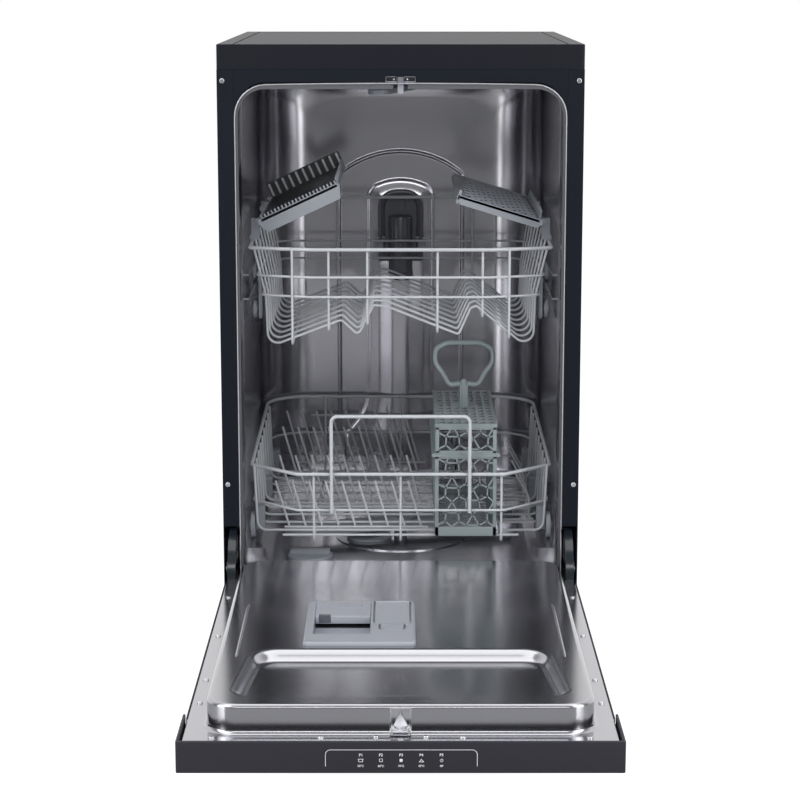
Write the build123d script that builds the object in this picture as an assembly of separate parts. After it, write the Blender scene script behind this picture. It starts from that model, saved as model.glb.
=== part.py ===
from build123d import *
import math
import os

# A slimline freestanding dishwasher, door open at a right angle, baskets at home in the tub.
# Millimetres. While it is modelled, y = 0 is the cabinet's front plane, +Y is the rear, +X the
# right-hand side seen from the front and z = 0 the floor. ROW_SHIFT centres the outer box.

# Cabinet
WIDTH = 448.0
DEPTH = 555.0
HEIGHT = 850.0
WORKTOP_THICK = 30.0
SHEET = 1.2
FLANGE_WIDTH = 20.0
SKIRT_Z = 22.0
FLANGE_BOTTOM_Z = 248.0
BODY_TOP_Z = HEIGHT - WORKTOP_THICK
REAR_Y = 548.0

# Tub
TUB_HALF = 202.0
TUB_TOP_Z = 802.0
TUB_BACK_Y = 520.0
TUB_SHEET = 1.5
TUB_MOUTH_R = 38.0
TUB_REAR_R = 80.0
TUB_CEILING_R = 45.0
TUB_SKIRT_Z = 160.0
FLOOR_Z = 172.0
FLOOR_THICK = 3.0
LEDGE_Z = 209.5
LEDGE_Y = 38.0
SUMP_Y = 250.0
SUMP_R = 76.0
FILTER_X, FILTER_Y = -43.0, 235.0
FILTER_R = 25.5

# Door, in its open place
PIVOT_Y, PIVOT_Z = 7.0, 191.0
DOOR_END_Y = -618.0
DOOR_HALF = 222.0
FASCIA_HALF = 225.0
FASCIA_DEPTH = 85.0
FASCIA_TOP_Z = 183.5
DOOR_SKIN_Z = 150.0
LINER_Z = 178.0
PAN_TOP_Z = 209.5
PAN_HALF = 198.3
PAN_FRONT_Y = -581.7
PAN_REAR_Y = -20.0
PAN_R = 30.0
TAIL_Y = 70.0
PIN_R = 4.0
FIT = 0.05

# Dispenser in the door
DISP_X0, DISP_X1 = -107.5, 16.5
DISP_Y0, DISP_Y1 = -382.0, -218.0
DISP_TOP_Z = PAN_TOP_Z + 4.0
LID_TRAVEL = 56.0

# Wires
GAP = 0.05
RIM_R = 2.3
WIRE_R = 1.6
TINE_R = 1.5

# Upper basket
UP_FRONT_Y = 50.0
UP_CORNER_Y = 70.0
UP_REAR_Y = 470.0
UP_RIM_HALF = 191.0
UP_RIM_FRONT_Z = 593.0
UP_RIM_REAR_Z = 617.0
UP_REAR_R = 26.0
UP_BAR_ZS = (558.0, 533.0)
UP_BOW_HALF = 113.0
UP_ROWS = 9
UP_ROW_Y0, UP_ROW_PITCH = 84.0, 44.0
UP_TRAVEL = 320.0
UP_WHEEL_R = 13.5
UP_WHEEL_Z = 549.0
UP_LOW_WHEEL_Z = 498.0
UP_WHEEL_YS = (194.0, 414.0)
RAIL_Y0, RAIL_Y1 = 28.0, 439.0

# Lower basket
LOW_FRONT_Y = 36.0
LOW_CORNER_Y = 93.0
LOW_REAR_Y = 505.0
LOW_RIM_HALF = 193.6
LOW_BOW_HALF = 132.0
LOW_RIM_FRONT_Z = 307.0
LOW_RIM_REAR_Z = 318.0
LOW_REAR_R = 60.0
LOW_RAIL_Z = 260.0
LOW_WIRE_Z = 222.0
LOW_WIRE_YS = (84.0, 126.0, 168.0, 210.0, 250.0, 295.0, 340.0, 385.0, 427.0)
LOW_WHEEL_R = 17.0
LOW_WHEEL_YS = (95.0, 265.0, 438.0)
LOW_TRAVEL = 296.0
LOW_WHEEL_Z = LEDGE_Z + 0.3 + LOW_WHEEL_R

# Cutlery basket
CUT_X0, CUT_X1 = 42.5, 124.5
CUT_Y0, CUT_Y1 = 43.5, 276.0
CUT_BOTTOM_Z = 223.9
CUT_RIM_Z = 328.0
CUT_TOP_Z = 372.0
CUT_WALL = 2.0
GRID_Z = 366.0
GRID_COLUMNS, GRID_ROWS = 6, 13

# Spray arms
LOW_ARM_LENGTH = 326.0
TOP_ARM_LENGTH = 230.0
TOP_ARM_Y = 260.0
ARM_BORE_R = 9.06

# The outer box runs from the open door's end to the worktop's rear edge.
ROW_SHIFT = -(DOOR_END_Y + DEPTH) / 2


def block(x0, x1, y0, y1, z0, z1):
    """A box between two corners."""
    centre = ((x0 + x1) / 2, (y0 + y1) / 2, (z0 + z1) / 2)
    return Pos(*centre) * Box(x1 - x0, y1 - y0, z1 - z0)


def rod(start, end, radius):
    """A straight round bar between two points."""
    along = Vector(*end) - Vector(*start)
    return Solid.make_cylinder(radius, along.length, Plane(origin=start, z_dir=along))


def wire(points, bend_r, radius=WIRE_R, starts=(0,)):
    """A bent round wire: straight runs joined by tangent arcs.

    Runs and arcs are counted together, and each number in starts begins a piece of its own,
    so that no piece bridges the wire's hollow side.
    """
    edges = FilletPolyline(*points, radius=bend_r).edges()
    ends = list(starts[1:]) + [len(edges)]
    pieces = []
    for first, end in zip(starts, ends):
        path = Wire(edges[first:end])
        section = Plane(origin=path @ 0, z_dir=path % 0) * Circle(radius)
        pieces.append(sweep(section, path=path))
    return pieces


def upright(x, y, z0, z1, radius):
    """A vertical cylinder."""
    return Pos(x, y, (z0 + z1) / 2) * Cylinder(radius, z1 - z0)


def crosswise(x0, x1, y, z, radius):
    """A cylinder along X."""
    return rod((x0, y, z), (x1, y, z), radius)


def prism(points, z0, z1):
    """A plan outline raised from z0 to z1."""
    return Pos(0, 0, z0) * extrude(make_face(Polyline(*points, close=True)), z1 - z0)


def front_prism(points, y0, y1):
    """An outline of (x, z) points drawn on the front plane and carried from y0 back to y1."""
    outline = make_face(Polyline(*[(x, 0, z) for x, z in points], close=True))
    return Pos(0, y0, 0) * extrude(outline, y1 - y0, dir=(0, 1, 0))


def side_prism(points, x0, x1):
    """An outline of (y, z) points carried from x0 to x1."""
    outline = make_face(Polyline(*[(0, y, z) for y, z in points], close=True))
    return Pos(x0, 0, 0) * extrude(outline, x1 - x0, dir=(1, 0, 0))


def rounded_plan(half_x, y0, y1, r_front, r_rear, z0, z1):
    """A vertical prism with its front and rear corners rounded in plan."""
    body = block(-half_x, half_x, y0, y1, z0, z1)
    uprights = body.edges().filter_by(Axis.Z).group_by(Axis.Y)
    if r_rear:
        body = fillet(uprights[-1], r_rear)
        uprights = body.edges().filter_by(Axis.Z).group_by(Axis.Y)
    if r_front:
        body = fillet(uprights[0], r_front)
    return body


def mirror_x(solid):
    """The same piece on the other side of the machine."""
    return mirror(solid, Plane.YZ)


def both_sides(solid):
    """A piece and its mirror image."""
    return [solid, mirror_x(solid)]


# Cabinet

def worktop_frame():
    outer = block(-WIDTH / 2, WIDTH / 2, 0, DEPTH, BODY_TOP_Z, HEIGHT)
    outer = fillet(outer.edges().filter_by(Axis.Z), 3)
    outer = fillet(outer.edges().group_by(Axis.Z)[-1], 1.2)
    return outer - block(-205, 205, 4, 543, HEIGHT - 18, HEIGHT + 1)


def worktop_board():
    board = block(-204, 204, 5, 542, HEIGHT - 18, HEIGHT - 0.3)
    return chamfer(board.edges().group_by(Axis.Z)[-1], 0.6)


def left_side_panel():
    outer_x = -WIDTH / 2
    inner_x = outer_x + SHEET
    sheet = block(outer_x, inner_x, 0, REAR_Y, SKIRT_Z, BODY_TOP_Z - 0.2)
    front = block(inner_x, outer_x + FLANGE_WIDTH, 0, SHEET, FLANGE_BOTTOM_Z, BODY_TOP_Z - 0.2)
    rear = block(inner_x, outer_x + 12, REAR_Y - SHEET, REAR_Y, SKIRT_Z, BODY_TOP_Z - 0.2)
    return sheet + front + rear


def panel_screws():
    heads = []
    for x in (-217.5, 217.5):
        for z in (806.0, 302.0):
            head = rod((x, 0, z), (x, -1.6, z), 3.2)
            heads.append(fillet(head.edges().group_by(Axis.Y)[0], 1.0))
    return heads


def rear_panel():
    return block(-211.5, 211.5, REAR_Y - SHEET, REAR_Y, 112, BODY_TOP_Z - 0.4)


def foot_places():
    return {"front_left": (-188, 66), "front_right": (188, 66),
            "rear_left": (-188, 512), "rear_right": (188, 512)}


def base_tray():
    """A floor with four foot bosses, and four walls that stand on it."""
    top = SKIRT_Z + 1
    floor = block(-220, 220, 42, 546, SKIRT_Z - 2, top)
    bosses = []
    for x, y in foot_places().values():
        floor -= upright(x, y, 0, 60, 10)
        bosses.append(upright(x, y, SKIRT_Z - 2, 52, 10) - upright(x, y, 0, 60, PIN_R + FIT))
    rear = block(-217, 217, 543, 546, top, 110)
    rear -= rod((-150, 540, 88), (-150, 550, 88), 14)
    rear -= rod((150, 540, 80), (150, 550, 80), 9)
    front = block(-217, 217, 42, 45, top, 110)
    return [floor, rear, front] + both_sides(block(217, 220, 42, 546, top, 110)) + bosses


def plinth():
    face = block(-221.5, 221.5, 37, 39.5, 26, 112)
    return face + block(-221.5, 221.5, 39.5, 41.8, 104, 107)


def foot(x, y):
    pad = fillet(upright(x, y, 0, 9, 17).edges().group_by(Axis.Z)[-1], 2)
    return pad + upright(x, y, 9, 62, PIN_R)


def top_rail():
    """A channel over the mouth, with a gusset at each end that follows the tub's round corner."""
    rail = block(-203.8, 203.8, 0, 34, 803.9, BODY_TOP_Z - 0.2)
    rail -= block(-202.3, 202.3, 1.5, 35, 803, BODY_TOP_Z - 1.7)
    rail -= block(-19, 19, -1, 2, 803, 811.5)
    gusset = block(TUB_HALF - TUB_MOUTH_R, 203.8, 0, 1.5, TUB_TOP_Z - TUB_MOUTH_R, 803.9 - GAP)
    gusset -= tub_space(TUB_SHEET + 0.3, -5, 700)
    return [rail] + both_sides(gusset)


def latch_housing():
    case = block(-18.6, 18.6, 3, 32, 804.1, 811.3)
    return case - block(-4.2, 4.2, 2, 27, 803, 812)


def latch_hook():
    outline = [(9, 790.3), (17, 790.3), (17, 793), (13.5, 793.5), (13.5, 800), (24, 804.5),
               (24, 810.5), (7, 810.5), (9, 802)]
    hook = side_prism(outline, -3.6, 3.6)
    return hook - crosswise(-5, 5, 20.5, 807.6, 1.5 + FIT)


def latch_pin():
    return crosswise(-9, 9, 20.5, 807.6, 1.5)


# Tub

def tub_space(grow, y0, z0):
    """The tub's inner space: the front outline, the plan and the side view all bound it."""
    half = TUB_HALF + grow
    top = TUB_TOP_Z + grow
    back = TUB_BACK_Y + grow
    front = block(-half, half, y0, back, z0, top)
    lengthwise = front.edges().filter_by(Axis.Y).group_by(Axis.Z)[-1]
    front = fillet(lengthwise, TUB_MOUTH_R + grow)
    plan = rounded_plan(half, y0, back, 0, TUB_REAR_R + grow, z0, top)
    side = block(-half, half, y0, back, z0, top)
    ceiling = side.edges().filter_by(Axis.X).sort_by(Axis.Z)[-2:].sort_by(Axis.Y)[-1]
    side = fillet(ceiling, TUB_CEILING_R + grow)
    return front & plan & side


DUCT_HALF = 46.0
DUCT_TOP_Z = 637.0
DUCT_FACE_Y = TUB_BACK_Y - 7.5
BEAD_X = 90.0
BEAD_R = 3.5


def raised_duct():
    """The pressed duct on the rear wall: a crowned column that flares into a bell foot."""
    half, spread = DUCT_HALF, 82.0
    corner_r, lean = 19.0, math.radians(25)
    turn_x, spring_z = half - corner_r, DUCT_TOP_Z - 25
    mid = (math.pi / 2 - lean) / 2
    crown = (turn_x + corner_r * math.sin(lean), spring_z + corner_r * math.cos(lean))
    shoulder = (turn_x + corner_r * math.cos(mid), spring_z + corner_r * math.sin(mid))
    outline = [
        Line((half, spring_z), (half, 330)),
        Spline((half, 330), (half + 8, 290), (spread, 262), tangents=((0, -1), (1, -0.25))),
        Line((spread, 262), (spread, 205)),
        Line((spread, 205), (-spread, 205)),
        Line((-spread, 205), (-spread, 262)),
        Spline((-spread, 262), (-half - 8, 290), (-half, 330), tangents=((1, 0.25), (0, 1))),
        Line((-half, 330), (-half, spring_z)),
        ThreePointArc((-half, spring_z), (-shoulder[0], shoulder[1]), (-crown[0], crown[1])),
        ThreePointArc((-crown[0], crown[1]), (0, DUCT_TOP_Z), crown),
        ThreePointArc(crown, shoulder, (half, spring_z)),
    ]
    face = Plane(origin=(0, DUCT_FACE_Y, 0), x_dir=(1, 0, 0), z_dir=(0, -1, 0)) * make_face(outline)
    return extrude(face, -(TUB_BACK_Y + 0.5 - DUCT_FACE_Y))


def arched_bead():
    """The raised bead round the duct: two legs and a flat arch."""
    y = TUB_BACK_Y + 0.6
    legs = Line((-BEAD_X, y, 268), (-BEAD_X, y, 640))
    arch = ThreePointArc((-BEAD_X, y, 640), (0, y, 679), (BEAD_X, y, 640))
    down = Line((BEAD_X, y, 640), (BEAD_X, y, 268))
    pieces = []
    for path in (legs, arch, down):
        section = Plane(origin=path @ 0, z_dir=path % 0) * Circle(BEAD_R)
        pieces.append(sweep(section, path=path))
    for x in (-BEAD_X, BEAD_X):
        for z in (268, 640):
            pieces.append(Pos(x, y, z) * Sphere(BEAD_R))
    return pieces


def tub_shell():
    outer = tub_space(TUB_SHEET, 0, TUB_SKIRT_Z)
    shell = outer - tub_space(0, -5, TUB_SKIRT_Z - 5)
    shell += raised_duct()
    for piece in arched_bead():
        shell += piece
    shell = shell & tub_space(TUB_SHEET, 0, TUB_SKIRT_Z)
    shell -= block(-6, 6, 5, 27, 795, 806)
    shell -= rod((0, TUB_BACK_Y - 20, 600), (0, TUB_BACK_Y + 10, 600), 9)
    return shell


def tub_floor():
    """Well, side ledges and front apron, trimmed to the tub's plan."""
    ledge_in, well = 178.0, 172.0
    low = FLOOR_Z - FLOOR_THICK
    outline = [(-201.9, LEDGE_Z), (-ledge_in, LEDGE_Z), (-well, FLOOR_Z), (well, FLOOR_Z),
               (ledge_in, LEDGE_Z), (201.9, LEDGE_Z), (201.9, LEDGE_Z - 3), (ledge_in + 2.3, LEDGE_Z - 3),
               (well + 2.3, low), (-well - 2.3, low), (-ledge_in - 2.3, LEDGE_Z - 3),
               (-201.9, LEDGE_Z - 3)]
    floor = front_prism(outline, LEDGE_Y, TUB_BACK_Y - 0.1)
    floor += block(-201.9, 201.9, 1, LEDGE_Y, low, FLOOR_Z)
    for piece in both_sides(block(well + 1, 201.9, LEDGE_Y, LEDGE_Y + 3, low, LEDGE_Z)):
        floor += piece
    floor += block(-180, 180, TUB_BACK_Y - 22, TUB_BACK_Y - 8.5, low, LEDGE_Z - 12)
    floor = floor & rounded_plan(201.9, -5, TUB_BACK_Y - 0.1, 0, TUB_REAR_R - 0.1, 150, 230)
    floor -= upright(0, SUMP_Y, 160, 180, SUMP_R + 0.3)
    return floor - upright(-120, 130, 160, 180, 31)


def tub_seal():
    """The door seal lines the mouth in straight and corner lengths, and a lip lies on the apron."""
    outer = tub_space(-0.05, 2.5, FLOOR_Z + 4)
    cut = block(-199.4, 199.4, 0, 540, 100, 796)
    cut = fillet(cut.edges().filter_by(Axis.Y).group_by(Axis.Z)[-1], TUB_MOUTH_R - 4)
    band = (outer - cut) & block(-210, 210, 2.5, 12, 100, 810)
    band -= block(-9, 9, 0, 14, 790, 803)
    bend_z, bend_x = TUB_TOP_Z - TUB_MOUTH_R, TUB_HALF - TUB_MOUTH_R
    leg = band & block(150, 210, 0, 20, 100, bend_z)
    corner = band & block(bend_x, 210, 0, 20, bend_z + GAP, 810)
    top = band & block(0, bend_x - GAP, 0, 20, bend_z, 810)
    lip = block(-196, 196, 10, 20, FLOOR_Z + 0.05, FLOOR_Z + 3)
    lip = fillet(lip.edges().filter_by(Axis.X).group_by(Axis.Z)[-1], 1.2)
    return both_sides(leg) + both_sides(corner) + both_sides(top) + [lip]


def eighths(shape, x, y, reach):
    """The shape cut into eight wedges round an upright line, so that no piece closes the hole on it."""
    wedges = []
    for i in range(8):
        angles = (math.pi / 4 * i, math.pi / 4 * (i + 1))
        corners = [(0, 0)] + [(math.cos(a) * reach, math.sin(a) * reach) for a in angles]
        wedges.append(shape & (Pos(x, y, 0) * prism(corners, 90, 175)))
    return wedges


def sump():
    """A round cup: a bottom with the spray arm's post, and a flanged wall in eight staves."""
    low = FLOOR_Z - FLOOR_THICK - GAP
    wall = upright(0, SUMP_Y, 99, low, SUMP_R) + upright(0, SUMP_Y, low - 3, low, SUMP_R + 14)
    wall -= upright(0, SUMP_Y, 90, 175, SUMP_R - 3)
    bottom = upright(0, SUMP_Y, 96, 99 - GAP, SUMP_R)
    return [bottom, upright(0, SUMP_Y, 99, 192, 9)] + eighths(wall, 0, SUMP_Y, 120)


def filter_plate():
    """A round plate over the sump in eight wedges round the hole for the fine filter."""
    plate = upright(0, SUMP_Y, FLOOR_Z + 0.05, FLOOR_Z + 1.4, SUMP_R + 13)
    plate -= upright(0, SUMP_Y, 165, 180, 9.5)
    plate -= upright(FILTER_X, FILTER_Y, 165, 180, FILTER_R + 0.4)
    return eighths(plate, FILTER_X, FILTER_Y, 260)


def micro_filter():
    cup = upright(FILTER_X, FILTER_Y, 106, FLOOR_Z + 1.6, FILTER_R)
    cup -= upright(FILTER_X, FILTER_Y, 109, 180, FILTER_R - 2)
    cap = upright(FILTER_X, FILTER_Y, FLOOR_Z + 1.6, FLOOR_Z + 4.6, FILTER_R + 5)
    cap -= upright(FILTER_X, FILTER_Y, 165, 180, FILTER_R - 9)
    grip = block(FILTER_X - 28, FILTER_X + 28, FILTER_Y - 3, FILTER_Y + 3, FLOOR_Z + 4.6, FLOOR_Z + 12)
    return cup + cap + fillet(grip.edges().filter_by(Axis.Y), 3)


def salt_cap():
    cap = upright(-120, 130, FLOOR_Z - 1.5, FLOOR_Z + 6, 30)
    cap = fillet(cap.edges().group_by(Axis.Z)[-1], 2)
    neck = upright(-120, 130, 150, FLOOR_Z - 1.5, 26)
    grip = block(-146, -94, 126, 134, FLOOR_Z + 6, FLOOR_Z + 12)
    return cap + neck + grip


def circulation_pump():
    motor = rod((40, 395, 84), (150, 395, 84), 40)
    volute = rod((0, 395, 84), (40, 395, 84), 50)
    return motor + volute + block(60, 130, 365, 425, SKIRT_Z + 1.1, 60)


def drain_pump():
    motor = rod((-150, 180, 70), (-95, 180, 70), 24)
    head = rod((-95, 180, 70), (-75, 180, 70), 30)
    return motor + head + block(-140, -110, 162, 198, SKIRT_Z + 1.1, 48)


def inlet_valve():
    nose = rod((-150, 530, 88), (-150, 554, 88), 13.1)
    nose -= rod((-150, 534, 88), (-150, 555, 88), 8)
    case = block(-172, -128, 490, 530, 66, 110)
    coil = upright(-150, 505, 110, 134, 14)
    return nose + case + coil


def cord_gland():
    gland = rod((150, 536, 80), (150, 552, 80), 8.7) + rod((150, 546.2, 80), (150, 549, 80), 12)
    return gland - rod((150, 530, 80), (150, 560, 80), 4)


def air_break():
    tank = block(-221, -206.5, 130, 430, 320, 640)
    tank = fillet(tank.edges().filter_by(Axis.X), 18)
    return tank + rod((-214, 200, 300), (-214, 200, 325), 5)


def rear_feed_pipe():
    """The hooded dock on the duct that feeds the upper basket, and the ceiling arm's pipe."""
    face_y = DUCT_FACE_Y - 0.2
    hood = block(-33, 33, face_y - 10, face_y, 520, 625)
    hood = fillet(hood.edges().filter_by(Axis.Y).group_by(Axis.Z)[-1], 30)
    barrel = upright(0, face_y - 8, 497, 590, 17.5)
    barrel = fillet(barrel.edges().group_by(Axis.Z)[-1], 6) & block(-20, 20, 460, face_y, 490, 600)
    mouth = rod((0, face_y - 30, 566), (0, face_y - 12, 566), 7)
    pads = block(-36, 36, face_y - 6, face_y, 538, 552)
    bearing = upright(0, TOP_ARM_Y, 786, 794, 9)
    ceiling_run = block(-11, 11, TOP_ARM_Y - 12, 474, 794, TUB_TOP_Z - 0.05)
    return [hood + barrel + pads - mouth, ceiling_run + bearing]


def spray_arm(length, width, thick, x, y, z, angle):
    """A flat arm with round ends, a hub boss and a blind bore for its bearing."""
    blade = extrude(Pos(x, y, z) * Rot(0, 0, angle) * SlotOverall(length, width), thick)
    blade = fillet(blade.edges().group_by(Axis.Z)[-1], thick * 0.35)
    return blade + upright(x, y, z, z + thick + 4, width * 0.55)


def lower_spray_arm():
    arm = spray_arm(LOW_ARM_LENGTH, 40, 11, 0, SUMP_Y, 186, 18)
    return arm - upright(0, SUMP_Y, 180, 194, ARM_BORE_R)


def top_spray_arm():
    arm = spray_arm(TOP_ARM_LENGTH, 28, 7, 0, TOP_ARM_Y, 781, 74)
    return arm - upright(0, TOP_ARM_Y, 784, 800, ARM_BORE_R)


def upper_rails():
    """A channel on each wall, as a back strip and two flanges that the high wheels run between."""
    bars = both_sides(block(199.4, 201.9, RAIL_Y0, RAIL_Y1, UP_WHEEL_Z - 17, UP_WHEEL_Z + 17))
    for sign in (-1, 1):
        z = UP_WHEEL_Z + sign * (UP_WHEEL_R + 1.6)
        bars += both_sides(block(190, 199.4, RAIL_Y0, RAIL_Y1, z - 1, z + 1))
    return bars


def hinge_bracket():
    plate = crosswise(212, 214, PIVOT_Y, PIVOT_Z, 13) + block(212, 214, PIVOT_Y, 86, 175, 186)
    plate += block(212, 216.9, 84, 110, 60, 215)
    return plate + crosswise(213, 221.5, PIVOT_Y, PIVOT_Z, PIN_R)


def door_spring():
    coil = rod((212, 140, 128), (212, 270, 128), 7)
    hooks = rod((212, 112, 128), (212, 141, 128), 1.5) + rod((212, 269, 128), (212, 300, 128), 1.5)
    return coil + hooks


# Door, drawn open

def door_outer_panel():
    front_y = DOOR_END_Y + FASCIA_DEPTH + 0.4
    skin = block(-DOOR_HALF, DOOR_HALF, front_y, TAIL_Y, DOOR_SKIN_Z, DOOR_SKIN_Z + SHEET)
    side = block(DOOR_HALF - SHEET, DOOR_HALF, front_y, -3, DOOR_SKIN_Z, LINER_Z + 0.6)
    tail = block(DOOR_HALF - SHEET, DOOR_HALF, -3, TAIL_Y, DOOR_SKIN_Z, 163)
    end = block(-DOOR_HALF, DOOR_HALF, TAIL_Y - SHEET, TAIL_Y, DOOR_SKIN_Z, 158)
    for piece in both_sides(side) + both_sides(tail) + [end]:
        skin += piece
    return skin


def button_places():
    return {"power_button": -150.0, "program_button": -96.0}


BUTTON_Y = -580.0
BUTTON_TRAVEL = 1.2


def door_fascia():
    rear_y = DOOR_END_Y + FASCIA_DEPTH
    body = block(-FASCIA_HALF, FASCIA_HALF, DOOR_END_Y, rear_y, DOOR_SKIN_Z, FASCIA_TOP_Z)
    body = fillet(body.edges().filter_by(Axis.Y), 2.5)
    body = fillet(body.edges().filter_by(Axis.X).group_by(Axis.Y)[0], 1.5)
    body -= block(-222.4, 222.4, DOOR_END_Y + 4, rear_y + 1, DOOR_SKIN_Z + 2.5, FASCIA_TOP_Z + 1)
    for x in button_places().values():
        body -= block(x - 7, x + 7, BUTTON_Y - 4, BUTTON_Y + 4, 140, 156)
    return body


def button(x):
    cap = block(x - 6.8, x + 6.8, BUTTON_Y - 3.8, BUTTON_Y + 3.8, DOOR_SKIN_Z + 0.2, DOOR_SKIN_Z + 2.6)
    flange = block(x - 9, x + 9, BUTTON_Y - 6, BUTTON_Y + 6, DOOR_SKIN_Z + 2.6, DOOR_SKIN_Z + 4)
    return cap + flange + upright(x, BUTTON_Y, DOOR_SKIN_Z + 4, DOOR_SKIN_Z + 6.4, 2)


def control_board():
    board = block(-175, 175, -606, -552, 158, 159.6)
    parts = block(-60, -20, -596, -570, 159.6, 168)
    parts += block(20, 80, -600, -566, 159.6, 166)
    return board + parts + upright(120, -585, 159.6, 172, 7)


def pan_solid(shrink):
    """The raised pan: a rounded block with a trough that widens towards the door's end."""
    half = PAN_HALF - shrink
    top = PAN_TOP_Z - shrink
    pan = block(-half, half, PAN_FRONT_Y + shrink, PAN_REAR_Y - shrink, LINER_Z - 1.5, top)
    pan = fillet(pan.edges().filter_by(Axis.Z), PAN_R - shrink)
    pan = fillet(pan.edges().group_by(Axis.Z)[-1], 3.5)
    depth, grow = 11.0, shrink
    wide = make_face(FilletPolyline((-152 - grow, -393 + grow), (152 + grow, -393 + grow),
                                    (174 + grow, -553 - grow), (-174 - grow, -553 - grow),
                                    radius=20, close=True))
    deep = make_face(FilletPolyline((-143 - grow, -403 + grow), (143 + grow, -403 + grow),
                                    (162 + grow, -542 - grow), (-162 - grow, -542 - grow),
                                    radius=16, close=True))
    trough = loft([Pos(0, 0, top + 0.01) * wide, Pos(0, 0, top - depth) * deep])
    return pan - trough


def door_inner_liner():
    """The pan, and the flat flange round it in four strips."""
    low = LINER_Z - SHEET
    pan = (pan_solid(0) - pan_solid(SHEET)) & block(-230, 230, -630, 10, low, 230)
    pan -= block(DISP_X0 + 4, DISP_X1 - 4, DISP_Y0 + 4, DISP_Y1 - 4, 160, 230)
    half = DOOR_HALF - SHEET - 0.2
    outside = block(-PAN_HALF, PAN_HALF, PAN_FRONT_Y, PAN_REAR_Y, low - 1, LINER_Z + 1)
    flange = block(-half, half, -612, -3, low, LINER_Z) - fillet(outside.edges().filter_by(Axis.Z), PAN_R)
    ends = [block(-half, half, -612, PAN_FRONT_Y + PAN_R, low, LINER_Z),
            block(-half, half, PAN_REAR_Y - PAN_R, -3, low, LINER_Z)]
    side = block(PAN_HALF, half, PAN_FRONT_Y + PAN_R, PAN_REAR_Y - PAN_R, low, LINER_Z)
    return [pan] + [flange & end for end in ends] + both_sides(side)


def door_screws():
    places = [(-190.8, -592.7), (-80.6, -592.7), (-25, -589), (25.4, -589), (62.9, -592.7), (191, -592.7)]
    for y in (-484, -406.8, -243.6, -81.5):
        places += [(-212, y), (212, y)]
    heads = []
    for x, y in places:
        head = upright(x, y, LINER_Z, LINER_Z + 1.7, 3.1)
        heads.append(fillet(head.edges().group_by(Axis.Z)[-1], 1.0))
    return heads


def door_striker():
    y = PAN_FRONT_Y - GAP
    plate = block(-11, 11, y - 1.6, y, 180.5, 206.5)
    diamond = [(0, 206.5), (7.6, 187.5), (0, 181), (-7.6, 187.5)]
    return plate + front_prism(diamond, y - 7, y - 1.6)


def hinge_arm():
    """A flat lever from the door's frame to the pivot, and the black guard arc beside it."""
    bore = crosswise(214, 224, PIVOT_Y, PIVOT_Z, PIN_R + FIT)
    lever = block(218.2, 220.2, -240, 22, 153, 163) + crosswise(218.2, 220.2, PIVOT_Y, PIVOT_Z, 13)
    lever += block(218.2, 220.2, -1, 15, 163, PIVOT_Z)
    arc = crosswise(206.5, 216, PIVOT_Y, PIVOT_Z, 54) - crosswise(206, 217, PIVOT_Y, PIVOT_Z, 45)
    guard = arc & block(206, 217, -60, 8, PIVOT_Z, 260)
    guard += block(206.5, 216, PIVOT_Y - 54, PIVOT_Y - 45, LINER_Z + GAP, PIVOT_Z)
    return [lever - bore, guard]


def hinge_arms():
    right = hinge_arm()
    return right + [mirror_x(piece) for piece in right]


def dispenser_body():
    body = block(DISP_X0, DISP_X1, DISP_Y0, DISP_Y1, PAN_TOP_Z + GAP, DISP_TOP_Z)
    body = fillet(body.edges().filter_by(Axis.Z), 4)
    body = fillet(body.edges().group_by(Axis.Z)[-1], 1.5)
    body += block(DISP_X0 + 5, DISP_X1 - 5, DISP_Y0 + 5, DISP_Y1 - 5, 186, PAN_TOP_Z + GAP)
    body -= block(-98, -34, -346, -342, DISP_TOP_Z - 2.4, DISP_TOP_Z + 1)
    body -= block(-98, -34, -342, -228, DISP_TOP_Z - 8, DISP_TOP_Z + 1)
    body -= block(-95, -37, -342, -286, 190, DISP_TOP_Z + 1)
    body -= block(-30, 11, -338, -219.5, DISP_TOP_Z - 2.4, DISP_TOP_Z + 1)
    return body - upright(-9, -262, 196, 213, 13)


def detergent_lid():
    lid = block(-97.6, -34.4, -285, -228.4, DISP_TOP_Z - 7.9, DISP_TOP_Z + 1.4)
    lid = fillet(lid.edges().filter_by(Axis.X).group_by(Axis.Z)[-1], 1.2)
    return lid - block(-84, -48, -240, -236, DISP_TOP_Z + 0.4, DISP_TOP_Z + 2)


def rinse_aid_flap():
    flap = block(-29, 10, -310, -222.3, DISP_TOP_Z - 2.3, DISP_TOP_Z + 0.2)
    flap += crosswise(-29, 10, -222.3, DISP_TOP_Z - 0.6, 1.5)
    return flap + block(-22, 3, -334, -310, DISP_TOP_Z - 2.3, DISP_TOP_Z + 1.2)


# Upper basket

def climb(y, y0, y1, z0, z1):
    """Height at y of a bar that is level up to y0, climbs to z1 at y1 and is level again."""
    share = min(max((y - y0) / (y1 - y0), 0), 1)
    return z0 + share * (z1 - z0)


def basket_loop(half, front_y, corner_y, bow_half, rear_y, rear_r, z_front, z_rear, radius):
    """A rim: a bowed front, two sides that climb to the rear, and a rear run with round corners."""
    split_f, split_r = corner_y + 16, rear_y - rear_r - 2
    front = wire([(-half, split_f, z_front), (-half, corner_y, z_front), (-bow_half, front_y, z_front),
                  (bow_half, front_y, z_front), (half, corner_y, z_front), (half, split_f, z_front)],
                 9, radius, (0, 4, 5))
    side = rod((half, split_f + GAP, z_front), (half, split_r - GAP, z_rear), radius)
    rear = wire([(-half, split_r, z_rear), (-half, rear_y, z_rear), (half, rear_y, z_rear),
                 (half, split_r, z_rear)], rear_r, radius, (0, 2, 3))
    return front + rear + both_sides(side)


def up_rim_z(y):
    return climb(y, UP_CORNER_Y + 16, UP_REAR_Y - UP_REAR_R - 2, UP_RIM_FRONT_Z, UP_RIM_REAR_Z)


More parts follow.
